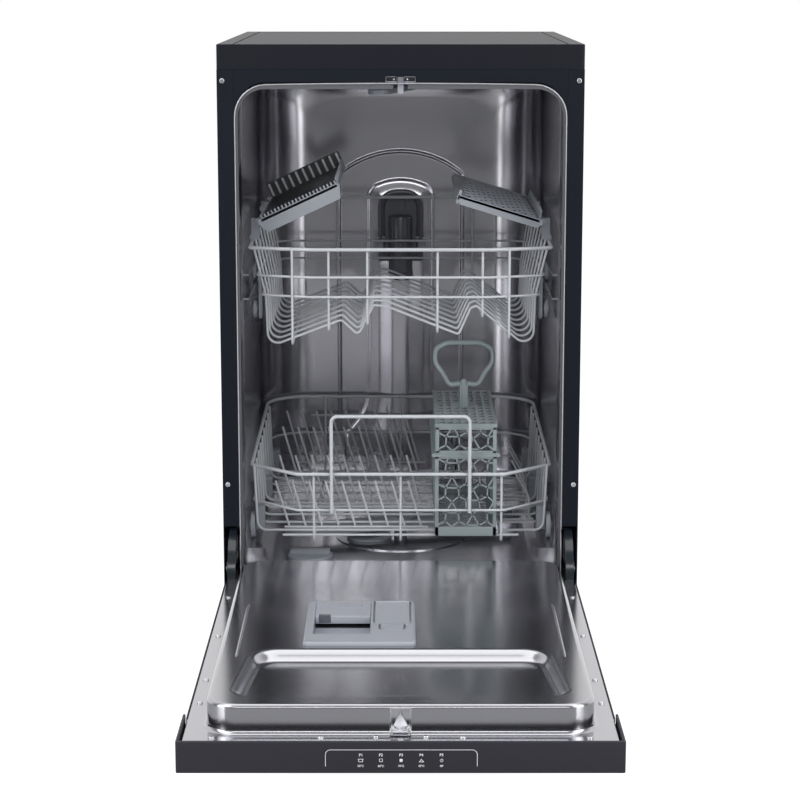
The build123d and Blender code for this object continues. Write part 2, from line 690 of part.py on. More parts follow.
UP_RISER_TOP_X = UP_RIM_HALF - RIM_R - TINE_R - GAP
UP_RISER_MID_X = 172.0
UP_RISER_MID_Z = 530.0
UP_W_POINTS = ((-169.5, 463.5), (-75.8, 499), (-54.5, 479), (-34.5, 518), (-17, 516),
               (74.3, 480), (89.3, 514), (96.8, 517), (169.5, 457.5))
UP_W_BENDS = [20, 13, 6, 5, 3, 6, 4, 3, 3, 13, 20]
UP_W_STARTS = (0, 3, 5, 7, 9, 13, 15, 19)


def floor_wire_at(x):
    """Height and slope of a floor wire's centre line at x."""
    for (x0, z0), (x1, z1) in zip(UP_W_POINTS, UP_W_POINTS[1:]):
        if x0 <= x <= x1:
            slope = (z1 - z0) / (x1 - x0)
            return z0 + slope * (x - x0), slope
    raise ValueError(x)


def upper_riser_x(z):
    share = (z - UP_RISER_MID_Z) / (UP_RIM_FRONT_Z - UP_RISER_MID_Z)
    return UP_RISER_MID_X + share * (UP_RISER_TOP_X - UP_RISER_MID_X)


def upper_cross_wire(y):
    """A wire from rim to rim over a floor of three ridges, in pieces that meet at its bends."""
    top = (UP_RISER_TOP_X, up_rim_z(y) + 1)
    middle = (UP_RISER_MID_X, UP_RISER_MID_Z)
    left = [(-top[0], top[1]), (-middle[0], middle[1])]
    outline = left + list(UP_W_POINTS) + [middle, top]
    return wire([(x, y, z) for x, z in outline], UP_W_BENDS, TINE_R, UP_W_STARTS)


def upper_long_runs():
    """Wires that run down the front, back under the cross wires and up the rear."""
    runs = []
    front_y = UP_FRONT_Y + RIM_R + WIRE_R + GAP
    rear_y = UP_REAR_Y - RIM_R - WIRE_R - GAP
    for x in (-137, -91, -42, 46.6, 103.6, 137.3):
        z, slope = floor_wire_at(x)
        z -= (TINE_R + WIRE_R + GAP) * math.sqrt(1 + slope * slope)
        runs += wire([(x, front_y, UP_RIM_FRONT_Z + 2), (x, front_y, z), (x, rear_y, z),
                      (x, rear_y, UP_RIM_REAR_Z + 2)], 5, WIRE_R, (0, 2, 3))
    return runs


def upper_basket_frame():
    pieces = basket_loop(UP_RIM_HALF, UP_FRONT_Y, UP_CORNER_Y, UP_BOW_HALF, UP_REAR_Y, UP_REAR_R,
                         UP_RIM_FRONT_Z, UP_RIM_REAR_Z, RIM_R)
    for z in UP_BAR_ZS:
        half = upper_riser_x(z) + TINE_R + WIRE_R + 2 * GAP
        pieces += basket_loop(half, UP_FRONT_Y, UP_CORNER_Y, UP_BOW_HALF, UP_REAR_Y, UP_REAR_R,
                              z, z - 4, WIRE_R)
    for i in range(UP_ROWS):
        pieces += upper_cross_wire(UP_ROW_Y0 + i * UP_ROW_PITCH)
    return pieces + upper_long_runs()


def upper_wheel_carrier(y):
    plate = block(184.2, 187.4, y - 14, y + 14, 484, 590)
    plate = fillet(plate.edges().filter_by(Axis.X), 8)
    for z in (UP_WHEEL_Z, UP_LOW_WHEEL_Z):
        plate += crosswise(187.4, 196.2, y, z, 3)
        plate += crosswise(196.2, 197.3, y, z, 4.6)
    return plate


def upper_wheel_carriers():
    carriers = []
    for y in UP_WHEEL_YS:
        carriers += both_sides(upper_wheel_carrier(y))
    return carriers


def wheel_pair(y, z, radius, x0, x1, axle_r):
    tyre = crosswise(x0, x1, y, z, radius)
    tyre = fillet(tyre.edges(), 1.0)
    return both_sides(tyre - crosswise(x0 - 1, x1 + 1, y, z, axle_r + FIT))


SHELF_HINGE_X, SHELF_HINGE_Z = 183.0, 623.0
SHELF_Y0, SHELF_Y1 = 84.0, 372.0
SHELF_WIDTH = 116.0
SHELF_EARS = (110.0, 320.0)
LEFT_TILT, RIGHT_TILT = 25.0, 17.0


def cup_shelf(lip_height):
    """A left-hand shelf lying flat with its hinge line on the Y axis, free edge towards +X."""
    plate = block(5, SHELF_WIDTH, SHELF_Y0, SHELF_Y1, -1.5, 1.5)
    plate += block(5, SHELF_WIDTH, SHELF_Y0, SHELF_Y0 + 2.4, -lip_height, 3)
    plate += block(5, SHELF_WIDTH, SHELF_Y1 - 2.4, SHELF_Y1, -lip_height, 3)
    plate += block(SHELF_WIDTH - 2.4, SHELF_WIDTH, SHELF_Y0, SHELF_Y1, -lip_height / 2, 3)
    for y in SHELF_EARS:
        plate += block(0, 6, y - 8, y + 8, -2.5, 2.5) + rod((0, y - 8, 0), (0, y + 8, 0), 4)
        plate -= rod((0, y - 12, 0), (0, y + 12, 0), 2 + FIT)
    return plate


def cup_shelf_left():
    """The comb shelf: ribs across it hold stemmed glasses."""
    shelf = cup_shelf(17)
    for i in range(12):
        x = 14 + i * 8.2
        shelf += block(x - 1.2, x + 1.2, SHELF_Y0 + 2.4, SHELF_Y1 - 2.4, 1.5, 8)
    return Pos(-SHELF_HINGE_X, 0, SHELF_HINGE_Z) * Rot(0, -LEFT_TILT, 0) * shelf


def cup_shelf_right():
    """The slotted shelf: rows of drain slots."""
    slots = [Pos(x, y, 0) * Box(22, 9, 4) for x in (26, 56, 86) for y in range(104, 365, 18)]
    flat = mirror_x(cup_shelf(9) - Compound(slots))
    return Pos(SHELF_HINGE_X, 0, SHELF_HINGE_Z) * Rot(0, RIGHT_TILT, 0) * flat


def shelf_clip(y):
    """A clip on the rim that carries one hinge pin of a cup shelf."""
    rim_z = up_rim_z(y + 12) + RIM_R + 0.15
    post = block(181.2, 192, y + 8.4, y + 12, rim_z, SHELF_HINGE_Z + 2.4)
    post += block(189, 194, y + 8.4, y + 12, rim_z, rim_z + 6)
    pin = rod((SHELF_HINGE_X, y + 8.6, SHELF_HINGE_Z), (SHELF_HINGE_X, y - 7, SHELF_HINGE_Z), 2)
    return post + pin


def shelf_clips():
    clips = []
    for y in SHELF_EARS:
        clips += both_sides(shelf_clip(y))
    return clips


# Lower basket

LOW_RISER_TOP_X = LOW_RIM_HALF - RIM_R - WIRE_R - GAP
LOW_RISER_LOW_X = 185.6


def low_rim_z(y):
    return climb(y, LOW_CORNER_Y + 16, LOW_REAR_Y - LOW_REAR_R - 2, LOW_RIM_FRONT_Z, LOW_RIM_REAR_Z)


def lower_basket_frame():
    pieces = basket_loop(LOW_RIM_HALF, LOW_FRONT_Y, LOW_CORNER_Y, LOW_BOW_HALF, LOW_REAR_Y, LOW_REAR_R,
                         LOW_RIM_FRONT_Z, LOW_RIM_REAR_Z, RIM_R)
    share = (LOW_RAIL_Z - LOW_WIRE_Z) / (LOW_RIM_FRONT_Z - LOW_WIRE_Z)
    riser_x = LOW_RISER_LOW_X + share * (LOW_RISER_TOP_X - LOW_RISER_LOW_X)
    pieces += basket_loop(riser_x + 2 * WIRE_R + 5 * GAP, LOW_FRONT_Y, LOW_CORNER_Y, LOW_BOW_HALF,
                          LOW_REAR_Y, LOW_REAR_R, LOW_RAIL_Z, LOW_RAIL_Z + 4, WIRE_R)
    for y in LOW_WIRE_YS:
        top_z = low_rim_z(y) + 1
        pieces += wire([(-LOW_RISER_TOP_X, y, top_z), (-LOW_RISER_LOW_X, y, LOW_WIRE_Z),
                        (LOW_RISER_LOW_X, y, LOW_WIRE_Z), (LOW_RISER_TOP_X, y, top_z)],
                       12, WIRE_R, (0, 2, 3))
    return pieces + lower_long_runs()


def lower_long_runs():
    """Wires down the front, back under the cross wires and up the rear, and two cross bars."""
    runs = []
    low_z = LOW_WIRE_Z - 2 * WIRE_R - GAP
    front_y = LOW_FRONT_Y + RIM_R + WIRE_R + GAP
    rear_y = LOW_REAR_Y - RIM_R - WIRE_R - GAP
    for x in (-111, 0, 129):
        runs += wire([(x, front_y, LOW_RIM_FRONT_Z + 2), (x, front_y, low_z), (x, rear_y, low_z),
                      (x, rear_y, LOW_RIM_REAR_Z + 2)], 5, WIRE_R, (0, 2, 3))
    runs.append(crosswise(-152, 152, LOW_FRONT_Y + 22, LOW_WIRE_Z, WIRE_R))
    runs.append(crosswise(-133, 133, LOW_REAR_Y - RIM_R + WIRE_R + GAP, 290, WIRE_R))
    return runs


RACK_ROWS = ((488.0, 76.0), (372.0, 76.0), (229.0, 66.0), (100.0, 60.0))
RACK_X0, RACK_PITCH, RACK_COUNT = -146.0, 21.6, 9
TINE_LEAN = math.tan(math.radians(16))


def lower_plate_rack():
    """Rows of tines that lean left, each row standing on its own base wire."""
    pieces = []
    foot_z = LOW_WIRE_Z + WIRE_R + GAP
    for y, height in RACK_ROWS:
        pieces.append(crosswise(-152, 36, y, LOW_WIRE_Z, WIRE_R))
        for i in range(RACK_COUNT):
            x = RACK_X0 + i * RACK_PITCH
            pieces.append(rod((x, y, foot_z + 0.5), (x - height * TINE_LEAN, y, foot_z + height), TINE_R))
    for y in (140.0, 200.0, 270.0, 330.0):
        pieces.append(crosswise(133, 176, y, LOW_WIRE_Z, WIRE_R))
        pieces += wire([(170, y, foot_z + 0.1), (170, y, LOW_WIRE_Z + 30), (150, y, LOW_WIRE_Z + 66)],
                       8, TINE_R)
    return pieces


def lower_basket_handle():
    """An inverted U in front of the rim, its feet on the lower rail."""
    y = LOW_FRONT_Y - RIM_R - 2.3 - GAP
    top = 383.0
    half = 88.0
    foot_z = LOW_RAIL_Z - 2
    return wire([(-half, y, foot_z), (-half, y, top), (half, y, top), (half, y, foot_z)], 8, 2.3, (0, 2, 3))


def lower_wheel_carrier(y):
    """A hook on the cross wire beside it, with a short axle for the wheel outside."""
    body = block(177, 188.6, y - 8.5, y + 8.5, LOW_WIRE_Z + 0.4, 254)
    body = fillet(body.edges().filter_by(Axis.X).group_by(Axis.Z)[-1], 5)
    body += crosswise(188.6, 196.6, y, LOW_WHEEL_Z, 3)
    return body + crosswise(196.1, 197.4, y, LOW_WHEEL_Z, 4.6)


def lower_wheel_carriers():
    carriers = []
    for y in LOW_WHEEL_YS:
        carriers += both_sides(lower_wheel_carrier(y))
    return carriers


# Cutlery basket

def lattice_wall(length, height, columns, rows):
    """A wall standing on the XZ plane at the origin, with rows of six-sided windows."""
    wall = block(0, length, 0, CUT_WALL, 0, height)
    pitch_x, pitch_z = (length - 8) / columns, (height - 8) / rows
    size = min(pitch_x, pitch_z) / 2 * 1.1 - 1.4
    bars = []
    for row in range(rows):
        shifted = row % 2
        for column in range(columns - shifted):
            x = 4 + pitch_x * (column + 0.5 + shifted / 2)
            z = 4 + pitch_z * (row + 0.5)
            plane = Plane(origin=(x, CUT_WALL + 1, z), x_dir=(1, 0, 0), z_dir=(0, -1, 0))
            bars.append(extrude(plane * RegularPolygon(size, 6, rotation=30), CUT_WALL + 2))
    return wall - Compound(bars)


def wall_ring(inset, z0, z1, rows):
    """Four lattice walls: two long sides and two ends between them."""
    x0, x1, y0, y1 = CUT_X0 + inset, CUT_X1 - inset, CUT_Y0 + inset, CUT_Y1 - inset
    side = Rot(0, 0, 90) * lattice_wall(y1 - y0, z1 - z0, 9, rows)
    end = lattice_wall(x1 - x0 - 2 * CUT_WALL - 2 * GAP, z1 - z0, 3, rows)
    end_x = x0 + CUT_WALL + GAP
    return [Pos(x0 + CUT_WALL, y0, z0) * side, Pos(x1, y0, z0) * side,
            Pos(end_x, y0, z0) * end, Pos(end_x, y1 - CUT_WALL, z0) * end]


def cutlery_body():
    """The lower tier: four walls and a slatted floor."""
    inset = 1.5
    floor = block(CUT_X0 + inset, CUT_X1 - inset, CUT_Y0 + inset, CUT_Y1 - inset,
                  CUT_BOTTOM_Z, CUT_BOTTOM_Z + 2.5)
    holes = [Pos(x, y, CUT_BOTTOM_Z) * Box(7, 12, 12)
             for x in (56, 70, 84, 98, 112) for y in range(60, 265, 18)]
    walls = wall_ring(inset, CUT_BOTTOM_Z + 2.5 + GAP, CUT_RIM_Z, 4)
    return [floor - Compound(holes)] + walls


def cutlery_top():
    """The upper tier: a rim of four bars, four walls and a grid of crossed bars over them."""
    x0, x1 = CUT_X0 - 3, CUT_X1 + 3
    z0, z1 = CUT_RIM_Z + GAP, CUT_RIM_Z + 5
    pieces = [block(x0, CUT_X0 + 5, CUT_Y0, CUT_Y1, z0, z1), block(CUT_X1 - 5, x1, CUT_Y0, CUT_Y1, z0, z1)]
    pieces += [block(CUT_X0 + 5.05, CUT_X1 - 5.05, y, y + 5, z0, z1) for y in (CUT_Y0, CUT_Y1 - 5)]
    pieces += wall_ring(2.5, z1 + GAP, GRID_Z - GAP, 2)
    for i in range(GRID_COLUMNS + 1):
        x = CUT_X0 + 2.5 + i * (CUT_X1 - CUT_X0 - 8.8) / GRID_COLUMNS
        pieces.append(block(x, x + 3.8, CUT_Y0 + 2.5, CUT_Y1 - 2.5, GRID_Z + 2.5 + GAP, CUT_TOP_Z))
    for i in range(GRID_ROWS + 1):
        y = CUT_Y0 + 2.5 + i * (CUT_Y1 - CUT_Y0 - 8.8) / GRID_ROWS
        pieces.append(block(CUT_X0 + 2.5, CUT_X1 - 2.5, y, y + 3.8, GRID_Z, GRID_Z + 2.5))
    return pieces


def cutlery_handle():
    """A heart-shaped carrying loop on a short post."""
    x, y = (CUT_X0 + CUT_X1) / 2, (CUT_Y0 + CUT_Y1) / 2
    post = block(x - 5.5, x + 5.5, y - 5, y + 5, CUT_TOP_Z + GAP, 404)
    half = wire([(x + 5.6, y, 400), (x + 20, y, 406), (x + 38, y, 434), (x + 34, y, 453), (x, y, 455)],
                [9, 9, 12], 4, (0, 5))
    halves = half + [mirror(piece, Plane(origin=(x, y, 0), z_dir=(1, 0, 0))) for piece in half]
    return [post] + halves


def nodes():
    """Every node's solids by name."""
    places = foot_places()
    left_panel = left_side_panel()
    lower_wheels = {f"lower_wheels_{name}": wheel_pair(y, LOW_WHEEL_Z, LOW_WHEEL_R, 189.3, 195.3, 3)
                    for name, y in zip(("front", "middle", "rear"), LOW_WHEEL_YS)}
    upper_wheels = {f"upper_wheels_{name}_{level}": wheel_pair(y, z, UP_WHEEL_R, 189.5, 195.5, 3)
                    for name, y in zip(("front", "rear"), UP_WHEEL_YS)
                    for level, z in (("high", UP_WHEEL_Z), ("low", UP_LOW_WHEEL_Z))}
    buttons = {name: button(x) for name, x in button_places().items()}
    made = {
        "worktop_frame": worktop_frame(),
        "worktop_board": worktop_board(),
        "left_side_panel": left_panel,
        "right_side_panel": mirror_x(left_panel),
        "panel_screws": panel_screws(),
        "rear_panel": rear_panel(),
        "base_tray": base_tray(),
        "plinth": plinth(),
        "front_left_foot": foot(*places["front_left"]),
        "front_right_foot": foot(*places["front_right"]),
        "rear_feet": [foot(*places["rear_left"]), foot(*places["rear_right"])],
        "top_rail": top_rail(),
        "latch_housing": [latch_housing() - crosswise(-30, 30, 20.5, 807.6, 1.5), latch_pin()],
        "latch_hook": latch_hook(),
        "tub_shell": tub_shell(),
        "tub_floor": tub_floor(),
        "tub_seal": tub_seal(),
        "sump": sump(),
        "filter_plate": filter_plate(),
        "micro_filter": micro_filter(),
        "salt_cap": salt_cap(),
        "circulation_pump": circulation_pump(),
        "drain_pump": drain_pump(),
        "inlet_valve": inlet_valve(),
        "cord_gland": cord_gland(),
        "air_break": air_break(),
        "rear_feed_pipe": rear_feed_pipe(),
        "lower_spray_arm": lower_spray_arm(),
        "top_spray_arm": top_spray_arm(),
        "upper_rails": upper_rails(),
        "hinge_mounts": both_sides(hinge_bracket()) + both_sides(door_spring()),
        "door_outer_panel": door_outer_panel(),
        "door_inner_liner": door_inner_liner(),
        "door_fascia": door_fascia(),
        "control_board": control_board(),
        "door_screws": door_screws(),
        "door_striker": door_striker(),
        "hinge_arms": hinge_arms(),
        "dispenser_body": dispenser_body(),
        "detergent_lid": detergent_lid(),
        "rinse_aid_flap": rinse_aid_flap(),
        "upper_basket_frame": upper_basket_frame(),
        "upper_basket_fittings": upper_wheel_carriers() + shelf_clips(),
        "cup_shelf_left": cup_shelf_left(),
        "cup_shelf_right": cup_shelf_right(),
        "lower_basket_frame": lower_basket_frame() + lower_basket_handle(),
        "lower_plate_rack": lower_plate_rack(),
        "lower_wheel_carriers": lower_wheel_carriers(),
        "cutlery_body": cutlery_body(),
        "cutlery_top": cutlery_top(),
        "cutlery_handle": cutlery_handle(),
    }
    return {**made, **buttons, **upper_wheels, **lower_wheels}


def solids_of(made):
    """The separate solids of a node, moved into the row's frame."""
    pieces = made if isinstance(made, list) else [made]
    found = []
    for piece in pieces:
        found += piece.moved(Location((0, ROW_SHIFT, 0))).solids()
    return found


def main():
    os.makedirs("parts", exist_ok=True)
    for name, made in nodes().items():
        solids = solids_of(made)
        shape = solids[0] if len(solids) == 1 else Compound(solids)
        export_step(shape, f"parts/{name}.step")


if __name__ == "__main__":
    main()
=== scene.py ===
"""A slimline freestanding dishwasher with its door down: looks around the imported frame.

Each sub-assembly is a class that holds its sizes in millimetres, works its surfaces out with numpy
and dresses them. Positions are given on the cabinet's own axes, where y = 0 is the front plane.
They become metres and move back by CABINET_Y into the shared frame, where x = 0 is the machine's
middle and z = 0 the floor. The studio's sizes are in metres.
"""

import logging
import math
from collections.abc import Sequence
from dataclasses import dataclass
from enum import Enum

import bmesh
import bpy
import numpy as np
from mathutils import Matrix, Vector
from mathutils.geometry import tessellate_polygon


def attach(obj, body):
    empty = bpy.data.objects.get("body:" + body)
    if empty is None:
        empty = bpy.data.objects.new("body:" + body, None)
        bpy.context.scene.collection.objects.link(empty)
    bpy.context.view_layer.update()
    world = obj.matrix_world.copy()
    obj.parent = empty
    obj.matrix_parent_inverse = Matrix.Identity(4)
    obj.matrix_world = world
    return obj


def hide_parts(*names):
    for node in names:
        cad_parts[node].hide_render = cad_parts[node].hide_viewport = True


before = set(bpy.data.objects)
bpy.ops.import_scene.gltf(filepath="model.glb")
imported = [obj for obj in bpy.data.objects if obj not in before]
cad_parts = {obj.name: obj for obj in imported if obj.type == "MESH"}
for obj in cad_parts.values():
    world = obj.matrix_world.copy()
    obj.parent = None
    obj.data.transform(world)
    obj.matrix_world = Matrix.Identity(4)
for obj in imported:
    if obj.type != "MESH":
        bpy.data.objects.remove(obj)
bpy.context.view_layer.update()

log = logging.getLogger("dishwasher")

Colour = tuple[float, float, float]
Point = tuple[float, float, float]

# One millimetre, where the cabinet's front plane lies and how near doubles are, all in metres
MM = 0.001
CABINET_Y = 0.0315
MERGE_DISTANCE = 1e-5

# Half angles of the sharpest and the straightest corner that get an arc, and the least plan radius
SHARPEST = 0.02
STRAIGHTEST = math.pi / 2 - 1e-3
LEAST_RADIUS = 0.02

# The least length that a direction is divided by
LEAST_LENGTH = 1e-12

# How a bar's end rounds off: the last rings' places and sizes, as shares of its radius
END_STEPS = (0.0, 0.25, 0.6)
END_TAPER = (0.5, 0.87, 1.0)

# How far a straight rib runs past its ends, as a share of its width
RIB_LAP = 0.35


# Named choices


class Grain(Enum):
    """How a finish's fine relief is drawn."""

    EVEN = (1.0, 1.0, 1.0)
    ACROSS = (0.04, 1.0, 1.0)
    UPRIGHT = (1.0, 1.0, 0.04)


class Axis(Enum):
    """The axis a shape is stacked or turned along: the two axes of its plan, then the axis itself."""

    X = (1, 2, 0)
    Y = (0, 2, 1)
    Z = (0, 1, 2)


class Side(Enum):
    """A side of the machine, as the sign of x there."""

    LEFT = -1
    RIGHT = 1


# Shapes, as arrays of points and faces


def unit(vectors: np.ndarray) -> np.ndarray:
    """Scales each row to length one."""
    return vectors / np.maximum(np.linalg.norm(vectors, axis=-1, keepdims=True), LEAST_LENGTH)


@dataclass
class Shape:
    """Points in millimetres on the cabinet's axes, and the faces between them by size."""

    points: np.ndarray
    faces: list[np.ndarray]

    def mirrored(self) -> "Shape":
        """Gives the shape's twin across x = 0."""
        return Shape(self.points * (-1.0, 1.0, 1.0), [face[:, ::-1] for face in self.faces])

    def tilted(self, degrees: float, x: float, z: float) -> "Shape":
        """Turns the shape about the Y axis and then carries the origin to (x, z).

        Args:
            degrees: The turn, positive from +Z towards +X.
            x: Where the origin goes.
            z: Where the origin goes.

        Returns:
            The turned shape.
        """
        turn = math.radians(degrees)
        c, s = math.cos(turn), math.sin(turn)
        matrix = np.array([(c, 0.0, s), (0.0, 1.0, 0.0), (-s, 0.0, c)])
        return Shape(self.points @ matrix.T + (x, 0.0, z), self.faces)


def joined(shapes: Sequence[Shape]) -> Shape:
    """Puts several shapes into one.

    Args:
        shapes: The shapes to gather.

    Returns:
        One shape with the faces renumbered.
    """
    offsets = np.cumsum([0] + [len(shape.points) for shape in shapes[:-1]])
    faces = [face + shift for shape, shift in zip(shapes, offsets) for face in shape.faces]
    return Shape(np.concatenate([shape.points for shape in shapes]), faces)


def both(shape: Shape) -> Shape:
    """Joins a shape and its twin across x = 0."""
    return joined([shape, shape.mirrored()])


def loft(rings: np.ndarray, round_rings: bool = True, caps: bool = True) -> Shape:
    """Skins a row of rings with quads; the end rings can be filled.

    Args:
        rings: An array of rings, points and coordinates.
        round_rings: Whether each ring closes on itself.
        caps: Whether the first and last ring are filled.

    Returns:
        The skin.
    """
    rows, around = rings.shape[:2]
    index = np.arange(rows * around).reshape(rows, around)
    after = np.roll(index, -1, axis=1)
    quads = np.stack([index[:-1], after[:-1], after[1:], index[1:]], axis=-1)
    if not round_rings:
        quads = quads[:, :-1]
    faces = [quads.reshape(-1, 4)]
    if caps:
        faces += [index[:1, ::-1], index[-1:]]
    return Shape(rings.reshape(-1, 3), faces)


def rounded(points: np.ndarray, radius: float | Sequence[float], steps: int = 5,
            closed: bool = False) -> np.ndarray:
    """Rounds a polyline's corners with arcs that touch both sides.

    Each arc's centre lies on the corner's bisector, at radius / sin(half angle) from the corner,
    and its points are spread evenly between the two touching points.

    Args:
        points: The corners, in two or three dimensions.
        radius: One radius, or one for each rounded corner.
        steps: The chords in each arc.
        closed: Whether the line returns to its start.

    Returns:
        The points of the rounded line.
    """
    corners = np.asarray(points, float)
    before = np.roll(corners, 1, axis=0)
    after = np.roll(corners, -1, axis=0)
    if not closed:
        before, after, middle = before[1:-1], after[1:-1], corners[1:-1]
    else:
        middle = corners
    back, ahead = unit(before - middle), unit(after - middle)
    half = 0.5 * np.arccos(np.clip((back * ahead).sum(-1), -1.0, 1.0))
    half = np.clip(half, SHARPEST, STRAIGHTEST)
    size = np.broadcast_to(np.asarray(radius, float), half.shape)
    reach = (size / np.tan(half))[:, None]
    centre = middle + unit(back + ahead) * (size / np.sin(half))[:, None]
    start, end = middle + back * reach - centre, middle + ahead * reach - centre
    turn = (math.pi - 2 * half)[:, None, None]
    share = np.linspace(0.0, 1.0, steps + 1)[None, :, None]
    swing = np.sin((1 - share) * turn) * start[:, None] + np.sin(share * turn) * end[:, None]
    arcs = (centre[:, None] + swing / np.sin(turn)).reshape(-1, corners.shape[1])
    return arcs if closed else np.concatenate([corners[:1], arcs, corners[-1:]])


def tube(path: np.ndarray, radius: float, up: Point, sides: int = 10, flat: float = 1.0) -> Shape:
    """Carries a circle along a path and rounds off both ends.

    Ring i is path[i] + radius * taper[i] * (cos(a) * side + flat * sin(a) * over), where side is
    square to the path and to up, over is square to both, and taper closes the last few tenths.

    Args:
        path: The centre line.
        radius: The bar's radius.
        up: A direction the path never runs along.
        sides: Points round each ring.
        flat: How far the section is flattened along over.

    Returns:
        The bar.
    """
    line = np.asarray(path, float)
    first, last = unit(line[1] - line[0]), unit(line[-1] - line[-2])
    inset = radius * np.array(END_STEPS)[:, None]
    line = np.concatenate([line[0] + first * inset, line[1:-1], line[-1] - last * inset[::-1]])
    taper, ends = np.ones(len(line)), len(END_TAPER)
    taper[:ends], taper[-ends:] = END_TAPER, END_TAPER[::-1]
    ahead = unit(np.gradient(line, axis=0))
    side = unit(np.cross(np.broadcast_to(np.asarray(up, float), ahead.shape), ahead))
    over = np.cross(ahead, side)
    angle = np.linspace(0.0, 2 * math.pi, sides, endpoint=False)[None, :, None]
    ring = np.cos(angle) * side[:, None] + flat * np.sin(angle) * over[:, None]
    return loft(line[:, None] + radius * taper[:, None, None] * ring)


def stacked(loops: Sequence[np.ndarray], heights: Sequence[float], axis: Axis = Axis.Z,
            caps: bool = True) -> Shape:
    """Skins closed plan loops laid at rising heights along an axis.

    Args:
        loops: Two-column loops with equal point counts.
        heights: Each loop's place on the axis.
        axis: The axis they are stacked along; the loops' columns are the other two, in order.
        caps: Whether the ends are filled.

    Returns:
        The skin.
    """
    flat = np.stack(loops)
    rings = np.empty(flat.shape[:2] + (3,))
    first, second, third = axis.value
    rings[..., first], rings[..., second] = flat[..., 0], flat[..., 1]
    rings[..., third] = np.asarray(heights, float)[:, None]
    return loft(rings, caps=caps)


def box_loop(u0: float, u1: float, v0: float, v1: float, radius: float, steps: int = 4) -> np.ndarray:
    """Gives the outline of a rectangle with round corners."""
    corners = np.array([(u0, v0), (u1, v0), (u1, v1), (u0, v1)])
    return rounded(corners, max(radius, LEAST_RADIUS), steps, closed=True)


def slab(low: Point, high: Point, corner: float = 2.0, edge: float = 0.6, axis: Axis = Axis.Z) -> Shape:
    """Makes a block with round corners in plan and rounded rims, stacked along an axis.

    The rim's inset is edge * (1 - sin(a)) at height edge * (1 - cos(a)), for a from 0 to 90 degrees.

    Args:
        low: The lowest corner.
        high: The highest corner.
        corner: The plan corners' radius.
        edge: The rims' radius.
        axis: The axis square to the plan.

    Returns:
        The block.
    """
    first, second, third = axis.value
    angle = np.linspace(0.0, math.pi / 2, 4)
    inset = edge * (1 - np.sin(angle))
    rise = edge * (1 - np.cos(angle))
    insets = np.concatenate([inset, inset[::-1]])
    heights = np.concatenate([low[third] + rise, high[third] - rise[::-1]])
    loops = [box_loop(low[first] + k, high[first] - k, low[second] + k, high[second] - k, corner - k)
             for k in insets]
    return stacked(loops, heights, axis)


def turned(profile: Sequence[tuple[float, float]], centre: Point, axis: Axis = Axis.Z,
           sides: int = 40) -> Shape:
    """Turns a profile of (radius, place along the axis) about an axis and fills its ends.

    Args:
        profile: The profile from one end to the other.
        centre: A point on the axis.
        axis: The axis it is turned about.
        sides: Points round each ring.

    Returns:
        The turned shape.
    """
    outline = np.asarray(profile, float)
    angle = np.linspace(0.0, 2 * math.pi, sides, endpoint=False)
    first, second, third = axis.value
    rings = np.empty((len(outline), sides, 3))
    rings[..., first] = centre[first] + outline[:, :1] * np.cos(angle)
    rings[..., second] = centre[second] + outline[:, :1] * np.sin(angle)
    rings[..., third] = centre[third] + outline[:, 1:]
    return loft(rings)


def filled(loops: Sequence[np.ndarray]) -> np.ndarray:
    """Gives the triangles between the first loop and the others, as rows of all their points."""
    return np.array(tessellate_polygon([[Vector((u, v, 0.0)) for u, v in loop] for loop in loops]))


def plate(outline: np.ndarray, holes: Sequence[np.ndarray], low: float, high: float,
          axis: Axis = Axis.Z) -> Shape:
    """Cuts a flat plate with windows: two filled faces and a wall round every edge.

    Args:
        outline: The plate's closed outline.
        holes: Closed outlines of the windows.
        low: One face's place on the axis.
        high: The other face's place.
        axis: The axis square to the plate.

    Returns:
        The plate.
    """
    loops = [np.asarray(outline, float)] + [np.asarray(hole, float) for hole in holes]
    flat = np.concatenate(loops)
    triangles = filled(loops)
    first, second, third = axis.value
    points = np.empty((2 * len(flat), 3))
    points[:, first], points[:, second] = np.tile(flat[:, 0], 2), np.tile(flat[:, 1], 2)
    points[: len(flat), third], points[len(flat):, third] = low, high
    walls, start = [], 0
    for loop in loops:
        index = np.arange(start, start + len(loop))
        after = np.roll(index, -1)
        walls.append(np.stack([index, after, after + len(flat), index + len(flat)], axis=-1))
        start += len(loop)
    return Shape(points, [triangles, triangles + len(flat), np.concatenate(walls)])


def flat_face(outline: np.ndarray, holes: Sequence[np.ndarray], z: float) -> Shape:
    """Fills a level outline that has holes.

    Args:
        outline: The closed outline, as x and y.
        holes: The holes' closed outlines.
        z: The face's height.

    Returns:
        One face of triangles.
    """
    loops = [outline, *holes]
    triangles = filled(loops)
    flat = np.concatenate(loops)
    return Shape(np.column_stack([flat, np.full(len(flat), z)]), [triangles])


def sticks(starts: np.ndarray, ends: np.ndarray, width: float, across: Point, depth: float) -> Shape:
    """Makes many straight square-cut ribs at once.

    Args:
        starts: One end of each rib's centre line.
        ends: The other end.
        width: The rib's width, square to its line and to across.
        across: The direction that the ribs' depth lies in.
        depth: The rib's depth.

    Returns:
        All ribs.
    """
    ahead = unit(ends - starts)
    through = np.broadcast_to(np.asarray(across, float), ahead.shape)
    side = unit(np.cross(through, ahead)) * width / 2
    deep = through * depth / 2
    lap = ahead * width * RIB_LAP
    corners = [side + deep, side - deep, -side - deep, -side + deep]
    points = np.stack([starts - lap + c for c in corners] + [ends + lap + c for c in corners], axis=1)
    box = np.array([(3, 2, 1, 0), (4, 5, 6, 7), (0, 1, 5, 4), (1, 2, 6, 5), (2, 3, 7, 6), (3, 0, 4, 7)])
    quads = (box[None] + 8 * np.arange(len(starts))[:, None, None]).reshape(-1, 4)
    return Shape(points.reshape(-1, 3), [quads])


